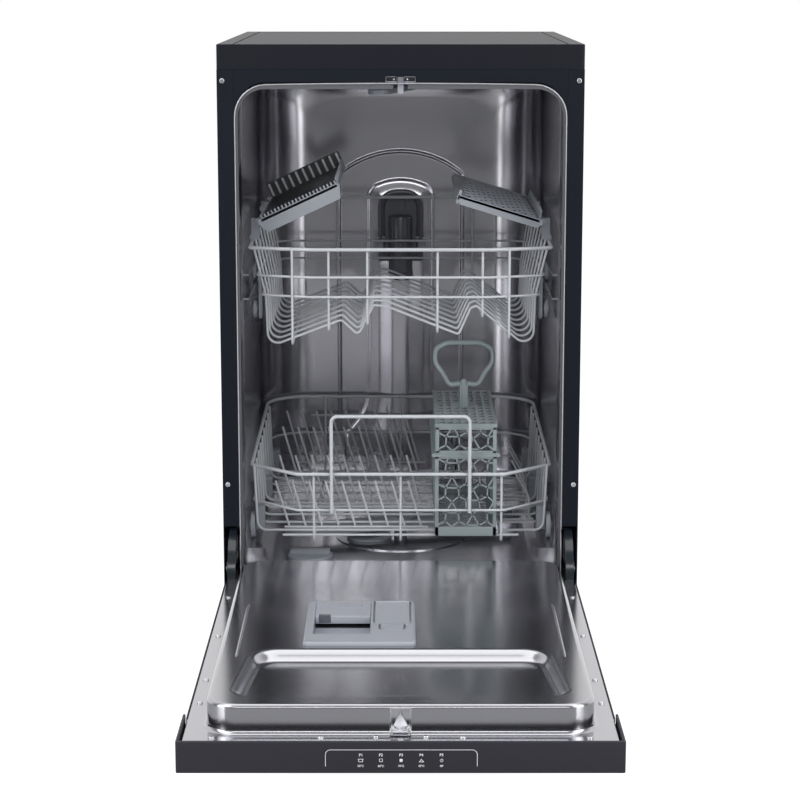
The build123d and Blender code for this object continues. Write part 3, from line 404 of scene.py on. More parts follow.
# From a shape to a finished piece


def to_frame(points: np.ndarray | Point) -> np.ndarray:
    """Turns millimetres on the cabinet's axes into metres in the shared frame."""
    return (np.asarray(points, float) + (0.0, CABINET_Y / MM, 0.0)) * MM


def mesh_of(name: str, shape: Shape) -> bpy.types.Mesh:
    """Puts a shape's arrays into a mesh, merges its doubles and makes its faces look one way.

    Args:
        name: The mesh's name.
        shape: Its points and faces.

    Returns:
        The mesh, closed shapes with their faces outwards.
    """
    points = to_frame(shape.points).astype(np.float32)
    corners = np.concatenate([face.ravel() for face in shape.faces]).astype(np.int32)
    sizes = np.concatenate([np.full(len(face), face.shape[1]) for face in shape.faces])
    starts = np.concatenate([[0], np.cumsum(sizes)[:-1]]).astype(np.int32)
    mesh = bpy.data.meshes.new(name)
    mesh.vertices.add(len(points))
    mesh.vertices.foreach_set("co", points.ravel())
    mesh.loops.add(len(corners))
    mesh.loops.foreach_set("vertex_index", corners)
    mesh.polygons.add(len(sizes))
    mesh.polygons.foreach_set("loop_start", starts)
    mesh.update(calc_edges=True)
    mesh.validate()
    work = bmesh.new()
    work.from_mesh(mesh)
    bmesh.ops.remove_doubles(work, verts=work.verts, dist=MERGE_DISTANCE)
    bmesh.ops.recalc_face_normals(work, faces=work.faces)
    work.to_mesh(mesh)
    work.free()
    return mesh


def looks_away(mesh: bpy.types.Mesh, eye: np.ndarray) -> bool:
    """Tells whether a sheet's faces look away from a point.

    They do when area * normal . (eye - centre), summed over the faces, is below zero.

    Args:
        mesh: The sheet.
        eye: The point, in the shared frame.

    Returns:
        Whether the sheet has to be turned over.
    """
    count = len(mesh.polygons)
    normals, centres = np.empty(3 * count, np.float32), np.empty(3 * count, np.float32)
    areas = np.empty(count, np.float32)
    mesh.polygons.foreach_get("normal", normals)
    mesh.polygons.foreach_get("center", centres)
    mesh.polygons.foreach_get("area", areas)
    toward = (normals.reshape(-1, 3) * (eye - centres.reshape(-1, 3))).sum(axis=1)
    return bool((areas * toward).sum() < 0.0)


def make(name: str, shape: Shape, finish: "Finish", body: str, replaces: Sequence[str] = (),
         thickness: float = 0.0, facing: Point | None = None, crease: float = 32.0) -> None:
    """Turns a shape into a finished piece that rides on a body.

    Args:
        name: The piece's name.
        shape: Its points and faces.
        finish: Its finish.
        body: The body it moves with.
        replaces: The CAD nodes it stands for.
        thickness: For a sheet, how thick it grows behind its face, in millimetres.
        facing: For a sheet, a point that its face looks at.
        crease: Edges sharper than this many degrees stay sharp.
    """
    mesh = mesh_of(name, shape)
    if facing is not None and looks_away(mesh, to_frame(facing)):
        mesh.flip_normals()
    mesh.shade_smooth()
    mesh.set_sharp_from_angle(angle=math.radians(crease))
    mesh.materials.append(finish.material())
    made = bpy.data.objects.new(name, mesh)
    bpy.context.scene.collection.objects.link(made)
    if thickness:
        sheet = made.modifiers.new("sheet", "SOLIDIFY")
        sheet.thickness, sheet.offset = thickness * MM, -1.0
    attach(made, body)
    if replaces:
        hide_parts(*replaces)
    log.info("made %s: %d faces on %s", name, len(mesh.polygons), body)


# Finishes


@dataclass(frozen=True)
class Finish:
    """One procedural finish: a principled surface with mottle, uneven gloss and fine relief.

    The mottle varies the colour over some centimetres, the grain is the fine relief, and both
    read Object coordinates, which are the shared frame's metres.
    """

    name: str
    slot: str
    colour: Colour
    roughness: float = 0.4
    metallic: float = 0.0
    mottle: float = 0.06
    mottle_scale: float = 9.0
    gloss_spread: float = 0.06
    grain: Grain = Grain.EVEN
    grain_scale: float = 1400.0
    grain_depth: float = 0.03
    grain_height: float = 0.0006
    coat: float = 0.0
    coat_roughness: float = 0.12
    specular: float = 0.5
    mottle_detail: float = 4.0
    grain_detail: float = 2.0
    least_roughness: float = 0.02

    def material(self) -> bpy.types.Material:
        """Makes the node material, or returns the one already made.

        Returns:
            The Blender material of this finish.
        """
        found = bpy.data.materials.get(self.name)
        if found:
            return found
        made = bpy.data.materials.new(self.name)
        made.use_nodes = True
        made.diffuse_color = (*self.colour, 1.0)
        tree = made.node_tree
        shader = tree.nodes["Principled BSDF"]
        shader.inputs["Metallic"].default_value = self.metallic
        shader.inputs["Coat Weight"].default_value = self.coat
        shader.inputs["Coat Roughness"].default_value = self.coat_roughness
        shader.inputs["Specular IOR Level"].default_value = self.specular
        place = tree.nodes.new("ShaderNodeTexCoord").outputs["Object"]
        self.add_mottle(tree, place, shader)
        self.add_grain(tree, place, shader)
        return made

    def add_mottle(self, tree: bpy.types.NodeTree, place: bpy.types.NodeSocket,
                   shader: bpy.types.Node) -> None:
        """Mixes a darker and a paler tone of the colour by soft noise.

        Args:
            tree: The material's nodes.
            place: The coordinates that the noise reads.
            shader: The shader that takes the colour.
        """
        cloud = tree.nodes.new("ShaderNodeTexNoise")
        cloud.inputs["Scale"].default_value = self.mottle_scale
        cloud.inputs["Detail"].default_value = self.mottle_detail
        tree.links.new(place, cloud.inputs["Vector"])
        tint = tree.nodes.new("ShaderNodeMix")
        tint.data_type = "RGBA"
        dark = [max(c * (1 - self.mottle), 0.0) for c in self.colour]
        pale = [min(c * (1 + self.mottle), 1.0) for c in self.colour]
        tint.inputs["A"].default_value = (*dark, 1.0)
        tint.inputs["B"].default_value = (*pale, 1.0)
        tree.links.new(cloud.outputs["Fac"], tint.inputs["Factor"])
        tree.links.new(tint.outputs["Result"], shader.inputs["Base Color"])

    def add_grain(self, tree: bpy.types.NodeTree, place: bpy.types.NodeSocket,
                  shader: bpy.types.Node) -> None:
        """Lays fine noise, drawn out along the grain, into the gloss and the relief.

        Args:
            tree: The material's nodes.
            place: The coordinates that the noise reads.
            shader: The shader that takes the roughness and the normal.
        """
        stretch = tree.nodes.new("ShaderNodeVectorMath")
        stretch.operation = "MULTIPLY"
        stretch.inputs[1].default_value = self.grain.value
        tree.links.new(place, stretch.inputs[0])
        fine = tree.nodes.new("ShaderNodeTexNoise")
        fine.inputs["Scale"].default_value = self.grain_scale
        fine.inputs["Detail"].default_value = self.grain_detail
        tree.links.new(stretch.outputs["Vector"], fine.inputs["Vector"])
        gloss = tree.nodes.new("ShaderNodeMapRange")
        smoothest = max(self.roughness - self.gloss_spread, self.least_roughness)
        gloss.inputs["To Min"].default_value = smoothest
        gloss.inputs["To Max"].default_value = min(self.roughness + self.gloss_spread, 1.0)
        tree.links.new(fine.outputs["Fac"], gloss.inputs["Value"])
        tree.links.new(gloss.outputs["Result"], shader.inputs["Roughness"])
        relief = tree.nodes.new("ShaderNodeBump")
        relief.inputs["Strength"].default_value = self.grain_depth
        relief.inputs["Distance"].default_value = self.grain_height
        tree.links.new(fine.outputs["Fac"], relief.inputs["Height"])
        tree.links.new(relief.outputs["Normal"], shader.inputs["Normal"])


CASING = Finish("casing_paint", "casing", (0.0045, 0.0068, 0.0125), 0.40, mottle=0.10, specular=0.18,
                grain_scale=900.0, grain_depth=0.04)
WORKTOP_MOULDING = Finish("worktop_moulding", "dark_plastic", (0.0055, 0.0068, 0.0120), 0.42, specular=0.2,
                          grain_scale=2200.0, grain_depth=0.12)
WORKTOP_LAMINATE = Finish("worktop_laminate", "laminate", (0.0068, 0.0080, 0.0125), 0.42, specular=0.12,
                          mottle=0.14, mottle_scale=30.0, grain_scale=1600.0, grain_depth=0.06)
FASCIA = Finish("fascia_satin", "fascia_plastic", (0.029, 0.028, 0.036), 0.46, specular=0.3,
                grain_scale=2500.0, grain_depth=0.05)
TUB_STEEL = Finish("tub_steel", "steel", (0.56, 0.555, 0.585), 0.19, metallic=1.0, mottle=0.05,
                   mottle_scale=5.0, grain=Grain.UPRIGHT, grain_scale=1300.0, grain_depth=0.0012,
                   gloss_spread=0.012)
DOOR_STEEL = Finish("door_steel", "steel", (0.50, 0.50, 0.525), 0.17, metallic=1.0, mottle=0.04,
                    mottle_scale=5.0, grain=Grain.ACROSS, grain_scale=1300.0, grain_depth=0.0004,
                    gloss_spread=0.006)
BRIGHT_STEEL = Finish("bright_steel", "screw", (0.66, 0.66, 0.68), 0.2, metallic=1.0, mottle=0.08)
ZINC = Finish("zinc_sheet", "zinc", (0.48, 0.49, 0.50), 0.42, metallic=1.0, mottle=0.2, mottle_scale=60.0)
RUBBER = Finish("seal_rubber", "rubber", (0.10, 0.103, 0.115), 0.6, grain_depth=0.1)
BLACK_PLASTIC = Finish("black_moulding", "black_plastic", (0.010, 0.010, 0.012), 0.5, specular=0.3,
                       grain_depth=0.1)
DOCK_PLASTIC = Finish("dock_moulding", "grey_plastic", (0.12, 0.125, 0.14), 0.28, coat=0.3,
                      grain_depth=0.03)
GREY_PLASTIC = Finish("grey_moulding", "grey_plastic", (0.275, 0.295, 0.325), 0.42, grain_depth=0.06)
# Painted light: the left shelf's rear fins are made much paler than the shelf's grey plastic, standing in
# for light they would catch at the tub's dim rear.
FIN_PAINTED_LIGHT_PLASTIC = Finish("shelf_fin_painted_light", "grey_plastic", (0.80, 0.81, 0.83), 0.4, grain_depth=0.04)
# Painted shade: this dark grey stands for the shade behind the left shelf's fins and in the shelves' slots,
# on the back plate and the bed plates.
PAINTED_SHADE_PLASTIC = Finish("shelf_painted_shade", "grey_plastic", (0.065, 0.070, 0.078), 0.5,
                       grain_depth=0.06)
GUARD_RUBBER = Finish("hinge_guard", "black_plastic", (0.006, 0.011, 0.016), 0.2, coat=0.5,
                      grain_depth=0.01)
CUTLERY_PLASTIC = Finish("cutlery_moulding", "cutlery_plastic", (0.235, 0.275, 0.285), 0.42,
                         grain_depth=0.06)
PALE_PLASTIC = Finish("pale_moulding", "pale_plastic", (0.36, 0.375, 0.42), 0.34, grain_depth=0.05)
SMOKE_WINDOW = Finish("smoked_window", "grey_plastic", (0.095, 0.098, 0.125), 0.16, coat=0.3)
COATED_WIRE = Finish("coated_wire", "wire", (0.52, 0.54, 0.565), 0.32, coat=0.25, grain_scale=600.0,
                     grain_depth=0.04)
PUMP_PLASTIC = Finish("pump_moulding", "pump", (0.05, 0.05, 0.055), 0.5)
OFF_WHITE = Finish("off_white_moulding", "brass_white", (0.62, 0.62, 0.58), 0.5)
BOARD = Finish("circuit_board", "copper_board", (0.03, 0.16, 0.07), 0.4)
INK = Finish("printed_ink", "fascia_plastic", (0.85, 0.86, 0.88), 0.5, grain_depth=0.0)

FINISH_OF_NODE: dict[str, Finish] = {
    "worktop_frame": WORKTOP_MOULDING, "worktop_board": WORKTOP_LAMINATE, "left_side_panel": CASING,
    "right_side_panel": CASING, "panel_screws": BRIGHT_STEEL, "rear_panel": ZINC,
    "base_tray": BLACK_PLASTIC, "plinth": CASING, "front_left_foot": BLACK_PLASTIC,
    "front_right_foot": BLACK_PLASTIC, "rear_feet": BLACK_PLASTIC, "top_rail": CASING,
    "latch_housing": PALE_PLASTIC, "latch_hook": PALE_PLASTIC, "tub_shell": TUB_STEEL,
    "tub_floor": TUB_STEEL, "tub_seal": RUBBER, "sump": GREY_PLASTIC, "filter_plate": TUB_STEEL,
    "micro_filter": GREY_PLASTIC, "salt_cap": GREY_PLASTIC, "circulation_pump": PUMP_PLASTIC,
    "drain_pump": PUMP_PLASTIC, "inlet_valve": OFF_WHITE, "cord_gland": BLACK_PLASTIC,
    "air_break": OFF_WHITE, "rear_feed_pipe": GREY_PLASTIC, "lower_spray_arm": GREY_PLASTIC,
    "top_spray_arm": GREY_PLASTIC, "upper_rails": TUB_STEEL, "hinge_mounts": ZINC,
    "door_outer_panel": CASING, "door_inner_liner": DOOR_STEEL, "door_fascia": FASCIA,
    "control_board": BOARD, "power_button": PALE_PLASTIC, "program_button": PALE_PLASTIC,
    "door_screws": BRIGHT_STEEL, "door_striker": BRIGHT_STEEL, "hinge_arms": GUARD_RUBBER,
    "dispenser_body": PALE_PLASTIC, "detergent_lid": PALE_PLASTIC, "rinse_aid_flap": PALE_PLASTIC,
    "upper_basket_frame": COATED_WIRE, "upper_basket_fittings": GREY_PLASTIC,
    "cup_shelf_left": GREY_PLASTIC, "cup_shelf_right": GREY_PLASTIC,
    "upper_wheels_front_high": GREY_PLASTIC, "upper_wheels_front_low": GREY_PLASTIC,
    "upper_wheels_rear_high": GREY_PLASTIC, "upper_wheels_rear_low": GREY_PLASTIC,
    "lower_basket_frame": COATED_WIRE, "lower_plate_rack": COATED_WIRE,
    "lower_wheel_carriers": GREY_PLASTIC, "lower_wheels_front": GREY_PLASTIC,
    "lower_wheels_middle": GREY_PLASTIC, "lower_wheels_rear": GREY_PLASTIC,
    "cutlery_body": CUTLERY_PLASTIC, "cutlery_top": CUTLERY_PLASTIC,
    "cutlery_handle": CUTLERY_PLASTIC,
}


def dress_cad_nodes() -> None:
    """Gives every carried-over CAD node its finish."""
    for name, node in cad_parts.items():
        finish = FINISH_OF_NODE[name]
        node.data.materials.clear()
        node.data.materials.append(finish.material())
        log.info("dressed %s in %s", name, finish.name)


# The studio


@dataclass(frozen=True)
class Lamp:
    """One soft rectangular lamp: where it hangs, the point it faces, its size and its watts."""

    name: str
    place: Point
    target: Point
    size: tuple[float, float]
    watts: float

    def hang(self) -> None:
        """Makes the lamp and turns it to its target."""
        data = bpy.data.lights.new(self.name, "AREA")
        data.shape = "RECTANGLE"
        data.size, data.size_y = self.size
        data.energy = self.watts
        made = bpy.data.objects.new(self.name, data)
        made.location = self.place
        aim = Vector(self.target) - Vector(self.place)
        made.rotation_euler = aim.to_track_quat("-Z", "Y").to_euler()
        bpy.context.scene.collection.objects.link(made)


LAMPS = (
    Lamp("key_lamp", (-2.0, -2.5, 2.3), (0.0, 0.0, 0.4), (2.2, 2.2), 30.0),
    Lamp("fill_lamp", (2.2, -2.3, 1.6), (0.0, 0.0, 0.4), (1.8, 2.4), 22.0),
    Lamp("top_lamp", (0.0, -0.4, 3.2), (0.0, 0.0, 0.5), (3.0, 2.0), 28.0),
    Lamp("front_lamp", (0.0, -3.4, 1.5), (0.0, 0.0, 0.6), (2.0, 0.5), 12.0),
    Lamp("left_strip", (-0.86, -0.85, 0.95), (0.0, 0.5, 0.6), (0.55, 1.9), 6.4),
    Lamp("right_strip", (0.86, -0.85, 0.95), (0.0, 0.5, 0.6), (0.55, 1.9), 6.4),
)


@dataclass(frozen=True)
class Studio:
    """The pale floor, the backdrop, the soft lamps and the camera at the photograph's place."""

    camera_y: float = -2.7293
    camera_z: float = 0.9395
    pitch_deg: float = 10.968
    lens_mm: float = 100.08
    sensor_mm: float = 36.0
    clip: tuple[float, float] = (0.05, 60.0)
    centre_px: float = 400.6
    photo_px: float = 800.0
    white: float = 1.0
    floor_white: float = 0.95
    room: float = 0.28
    room_colour: Colour = (0.95, 0.97, 1.0)
    paper: Colour = (0.52, 0.52, 0.53)
    shadowed_paper: Colour = (0.30, 0.30, 0.31)
    floor_half: float = 14.0
    front_y: float = -0.1
    rear_y: float = 0.5

    def camera(self) -> None:
        """Makes the camera: it looks along +Y and down by the pitch."""
        data = bpy.data.cameras.new("photo_camera")
        data.lens = self.lens_mm
        data.sensor_width = self.sensor_mm
        data.shift_x = -(self.centre_px - self.photo_px / 2) / self.photo_px
        data.clip_start, data.clip_end = self.clip
        made = bpy.data.objects.new("photo_camera", data)
        made.location = (0.0, self.camera_y + CABINET_Y, self.camera_z)
        made.rotation_euler = (math.radians(90.0 - self.pitch_deg), 0.0, 0.0)
        bpy.context.scene.collection.objects.link(made)
        bpy.context.scene.camera = made

    def floor(self) -> None:
        """Makes the floor: white to the camera, pale to the light, with the machine's shadow."""
        half = self.floor_half
        corners = np.array([(-half, -half, 0), (half, -half, 0), (half, half, 0), (-half, half, 0)])
        mesh = bpy.data.meshes.new("studio_floor")
        mesh.from_pydata(corners.tolist(), [], [(0, 1, 2, 3)])
        made = bpy.data.objects.new("studio_floor", mesh)
        bpy.context.scene.collection.objects.link(made)
        mesh.materials.append(self.pale_floor())

    def backdrop_share(self, tree: bpy.types.NodeTree, source: str) -> bpy.types.NodeSocket:
        """Works out where the white backdrop shows instead of the lit floor or room.

        The share is camera + (glossy + transmission) * behind, where behind rises from 0 at front_y
        to 1 at rear_y, the machine's middle and its back: metal and glass show the backdrop too.

        Args:
            tree: The node tree of the floor's material or of the world.
            source: The texture coordinate whose Y says how far back a point or a ray is.

        Returns:
            The socket that holds the share, from 0 to 1.
        """
        nodes, links = tree.nodes, tree.links
        paths = nodes.new("ShaderNodeLightPath")
        place = nodes.new("ShaderNodeTexCoord")
        split = nodes.new("ShaderNodeSeparateXYZ")
        links.new(place.outputs[source], split.inputs["Vector"])
        behind = nodes.new("ShaderNodeMapRange")
        behind.interpolation_type = "SMOOTHSTEP"
        behind.inputs["From Min"].default_value = self.front_y
        behind.inputs["From Max"].default_value = self.rear_y
        links.new(split.outputs["Y"], behind.inputs["Value"])
        mirrored = nodes.new("ShaderNodeMath")
        mirrored.operation = "ADD"
        links.new(paths.outputs["Is Glossy Ray"], mirrored.inputs[0])
        links.new(paths.outputs["Is Transmission Ray"], mirrored.inputs[1])
        share = nodes.new("ShaderNodeMath")
        share.operation, share.use_clamp = "MULTIPLY_ADD", True
        links.new(mirrored.outputs["Value"], share.inputs[0])
        links.new(behind.outputs["Result"], share.inputs[1])
        links.new(paths.outputs["Is Camera Ray"], share.inputs[2])
        return share.outputs["Value"]

    def pale_floor(self) -> bpy.types.Material:
        """Makes the floor's material: diffuse, with its white added only in what is looked at.

        Returns:
            The floor's material.
        """
        made = bpy.data.materials.new("pale_floor")
        made.use_nodes = True
        nodes, links = made.node_tree.nodes, made.node_tree.links
        nodes.clear()
        out = nodes.new("ShaderNodeOutputMaterial")
        paper = nodes.new("ShaderNodeBsdfDiffuse")
        paper.inputs["Color"].default_value = (*self.paper, 1.0)
        shadowed = nodes.new("ShaderNodeBsdfDiffuse")
        shadowed.inputs["Color"].default_value = (*self.shadowed_paper, 1.0)
        glow = nodes.new("ShaderNodeEmission")
        glow.inputs["Color"].default_value = (1.0, 1.0, 1.0, 1.0)
        glow.inputs["Strength"].default_value = self.white * self.floor_white
        lit = nodes.new("ShaderNodeAddShader")
        links.new(glow.outputs["Emission"], lit.inputs[0])
        links.new(shadowed.outputs["BSDF"], lit.inputs[1])
        mix = nodes.new("ShaderNodeMixShader")
        links.new(self.backdrop_share(made.node_tree, "Object"), mix.inputs["Fac"])
        links.new(paper.outputs["BSDF"], mix.inputs[1])
        links.new(lit.outputs["Shader"], mix.inputs[2])
        links.new(mix.outputs["Shader"], out.inputs["Surface"])
        return made

    def world(self) -> None:
        """Sets an even soft room, white where the camera sees it and behind the machine."""
        surround = bpy.data.worlds.new("studio_world")
        bpy.context.scene.world = surround
        surround.use_nodes = True
        nodes, links = surround.node_tree.nodes, surround.node_tree.links
        nodes.clear()
        out = nodes.new("ShaderNodeOutputWorld")
        room = nodes.new("ShaderNodeBackground")
        room.inputs["Color"].default_value = (*self.room_colour, 1.0)
        room.inputs["Strength"].default_value = self.room
        backdrop = nodes.new("ShaderNodeBackground")
        backdrop.inputs["Color"].default_value = (1.0, 1.0, 1.0, 1.0)
        backdrop.inputs["Strength"].default_value = self.white
        mix = nodes.new("ShaderNodeMixShader")
        links.new(self.backdrop_share(surround.node_tree, "Generated"), mix.inputs["Fac"])
        links.new(room.outputs["Background"], mix.inputs[1])
        links.new(backdrop.outputs["Background"], mix.inputs[2])
        links.new(mix.outputs["Shader"], out.inputs["Surface"])

    def build(self) -> None:
        """Sets the whole studio."""
        bpy.context.scene.view_settings.view_transform = "Standard"
        self.camera()
        self.floor()
        self.world()
        for lamp in LAMPS:
            lamp.hang()
        log.info("studio is set")


# The tub and its fittings


@dataclass
class TubWalls:
    """The pressed steel tub: two sides, a ceiling and the rear wall with its bead and its duct."""

    half: float = 202.0
    top: float = 802.0
    back: float = 520.0
    low: float = 160.0
    mouth_r: float = 38.0
    mouth_lean: float = 0.02
    rear_r: float = 80.0
    ceiling_r: float = 45.0
    sheet: float = 1.5
    bead_half: float = 90.0
    bead_top: float = 679.0
    bead_corner: float = 12.0
    bead_width: float = 3.6
    bead_height: float = 2.2
    bead_end: float = 268.0
    bead_fade: float = 9.0
    bead_lean: float = math.radians(38.0)
    bead_flats: tuple[float, float] = (2.0, 1.25)
    bead_rows: int = 9
    between_half: float = 68.0
    between_top: float = 659.0
    between_corner: float = 15.5
    between_lean: float = math.radians(31.0)
    between_swell: float = 3.4
    duct_half: float = 46.0
    duct_top: float = 637.0
    duct_corner: float = 19.0
    duct_lean: float = math.radians(25.0)
    duct_height: float = 9.5
    duct_least_r: float = 3.0
    duct_profile: tuple[tuple[float, float], ...] = (
        (-7.0, 0.0), (-4.2, 0.0), (-3.0, 0.01), (-1.2, 0.09), (0.3, 0.17), (2.2, 0.22),
        (5.0, 0.24), (9.0, 0.255), (13.0, 0.28), (15.5, 0.33), (18.0, 0.40), (24.0, 0.605),
        (31.0, 0.845), (34.0, 0.935), (36.5, 0.98), (39.0, 0.997), (42.5, 1.0), (46.0, 1.0))
    foot_half: float = 80.0
    foot_z: float = 262.0
    foot_past: float = 3.0
    foot_swell: float = 3.6
    swell_gain: float = 1.15
    flare_z: float = 345.0
    heel_z: float = 210.0
    shin_z: float = 400.0
    knee_z: float = 500.0
    arch_points: int = 9
    flare_points: int = 12
    side_rows: int = 4
    rear_rows: int = 13

    def arch(self, half: float, top: float, corner: float, lean: float) -> np.ndarray:
        """Gives half an arch, from its springing to its crown.

        The corner is an arc about (half - corner, spring) up to 90 degrees less lean, and the crown
        is an arc of radius crown_x / sin(lean) about the middle, so the two meet without a kink.

        Args:
            half: Half the arch's width.
            top: The crown's height.
            corner: The corner arc's radius.
            lean: The slope where the arcs meet.

        Returns:
            Rows of x and z.
        """
        corner = min(corner, half)
        crown_x = half - corner + corner * math.sin(lean)
        radius = crown_x / math.sin(lean)
        spring = top - corner * math.cos(lean) - radius * (1 - math.cos(lean))
        low = np.linspace(0.0, math.pi / 2 - lean, self.arch_points)
        high = np.linspace(lean, 0.0, self.arch_points)[1:]
        side = np.stack([half - corner + corner * np.cos(low), spring + corner * np.sin(low)], axis=-1)
        crown = np.stack([radius * np.sin(high), top - radius + radius * np.cos(high)], axis=-1)
        return np.concatenate([side, crown])

    def flare(self, z: np.ndarray) -> np.ndarray:
        """Gives how far the bell foot has opened: ((flare_z - z) / (flare_z - foot_z))^3."""
        return np.clip((self.flare_z - z) / (self.flare_z - self.foot_z), 0.0, 1.0) ** 3

    def loop(self, half: float, top: float, corner: float, lean: float,
             foot: float | None = None) -> np.ndarray:
        """Gives one arched loop from the right foot over the crown to the left foot.

        Args:
            half: Half the loop's width.
            top: Its crown's height.
            corner: Its corners' radius.
            lean: The slope where corner and crown meet.
            foot: Half its width at the bell foot, or None for a plain loop.

        Returns:
            Rows of x and z.
        """
        arch = self.arch(half, top, corner, lean)
        flared = np.linspace(self.foot_z, self.flare_z, self.flare_points)
        last = (self.knee_z + arch[0, 1]) / 2
        levels = np.concatenate([[self.low, self.heel_z], flared, [self.shin_z, self.knee_z, last]])
        spread = ((half if foot is None else foot) - half) * self.flare(levels)
        leg = np.stack([half + spread, levels], axis=-1)
        right = np.concatenate([leg, arch])
        return np.concatenate([right, (right * (-1.0, 1.0))[-2::-1]])

    def depth_rings(self) -> list[np.ndarray]:
        """Gives the loops from the mouth to the rear wall.

        Along the quarter turn a, y = back - rear_r + rear_r * sin(a), the sides draw in by
        rear_r * (1 - cos(a)), and the ceiling comes down along its own arc.

        Returns:
            Loops of x, y and z.
        """
        start = self.back - self.rear_r
        turn = np.linspace(0.0, math.pi / 2, self.rear_rows)
        sides = np.linspace(0.0, start, self.side_rows + 1)[:-1]
        depths = np.concatenate([sides, start + self.rear_r * np.sin(turn)])
        side = np.concatenate([np.zeros(self.side_rows), self.rear_r * (1 - np.cos(turn))])
        past = np.clip(depths - (self.back - self.ceiling_r), 0.0, self.ceiling_r)
        drop = self.ceiling_r - np.sqrt(self.ceiling_r**2 - past**2)
        return [self.placed(self.loop(self.half - s, self.top - d, self.mouth_r, self.mouth_lean), y)
                for s, d, y in zip(side, drop, depths)]

    def placed(self, loop: np.ndarray, y: float | np.ndarray) -> np.ndarray:
        """Puts a loop of x and z at a depth."""
        return np.stack([loop[:, 0], np.broadcast_to(y, len(loop)), loop[:, 1]], axis=-1)

    def bead_rings(self) -> list[np.ndarray]:
        """Gives the bead's loops: its height is bead_height * cos(90 deg * d / bead_width)^2.

        Two flat loops on either side keep the wall's shading level up to the bead.

        Returns:
            Loops of x, y and z.
        """
        rings = []
        flat = self.bead_width * np.array(self.bead_flats)
        swell = np.linspace(self.bead_width, -self.bead_width, self.bead_rows)
        for d in np.concatenate([flat, swell, -flat[::-1]]):
            loop = self.loop(self.bead_half + d, self.bead_top + d, self.bead_corner + d, self.bead_lean)
            fade = np.clip((loop[:, 1] - self.bead_end) / self.bead_fade, 0.0, 1.0)
            share = min(abs(d) / self.bead_width, 1.0)
            height = self.bead_height * math.cos(math.pi / 2 * share) ** 2
            rings.append(self.placed(loop, self.back - height * fade))
        return rings

    def duct_rings(self) -> list[np.ndarray]:
        """Gives the duct's loops: a low step at the edge, a sloped face on each side and a flat nose.

        Each row of the profile says how far a loop lies inside the duct's edge, and its share of the
        height. The face stands duct_height * share forward, and up to foot_swell more where the bell
        foot opens.

        Returns:
            Loops of x, y and z.
        """
        rings = []
        for inset, share in self.duct_profile:
            half = self.duct_half - inset
            spread = min(half / self.duct_half, 1.0) ** 0.5
            foot = half * (1 + (self.foot_half / self.duct_half - 1) * spread)
            corner = max(self.duct_corner - inset, self.duct_least_r)
            loop = self.loop(half, self.duct_top - inset, corner, self.duct_lean,
                             min(foot, self.foot_half + self.foot_past))
            swell = self.foot_swell * self.flare(loop[:, 1]) * min(share * self.swell_gain, 1.0)
            rings.append(self.placed(loop, self.back - self.duct_height * share - swell))
        return rings

    def build(self) -> None:
        """Makes the tub's sheet from the mouth to the duct's middle line."""
        between = self.loop(self.between_half, self.between_top, self.between_corner, self.between_lean,
                            self.foot_half + self.between_swell)
        wall = [*self.depth_rings(), *self.bead_rings(), self.placed(between, self.back)]
        rings = wall + self.duct_rings()
        shape = loft(np.stack(rings), round_rings=False, caps=False)
        make("tub_walls", shape, TUB_STEEL, "cabinet", ["tub_shell"], thickness=self.sheet,
             facing=(0.0, 200.0, 500.0), crease=40.0)


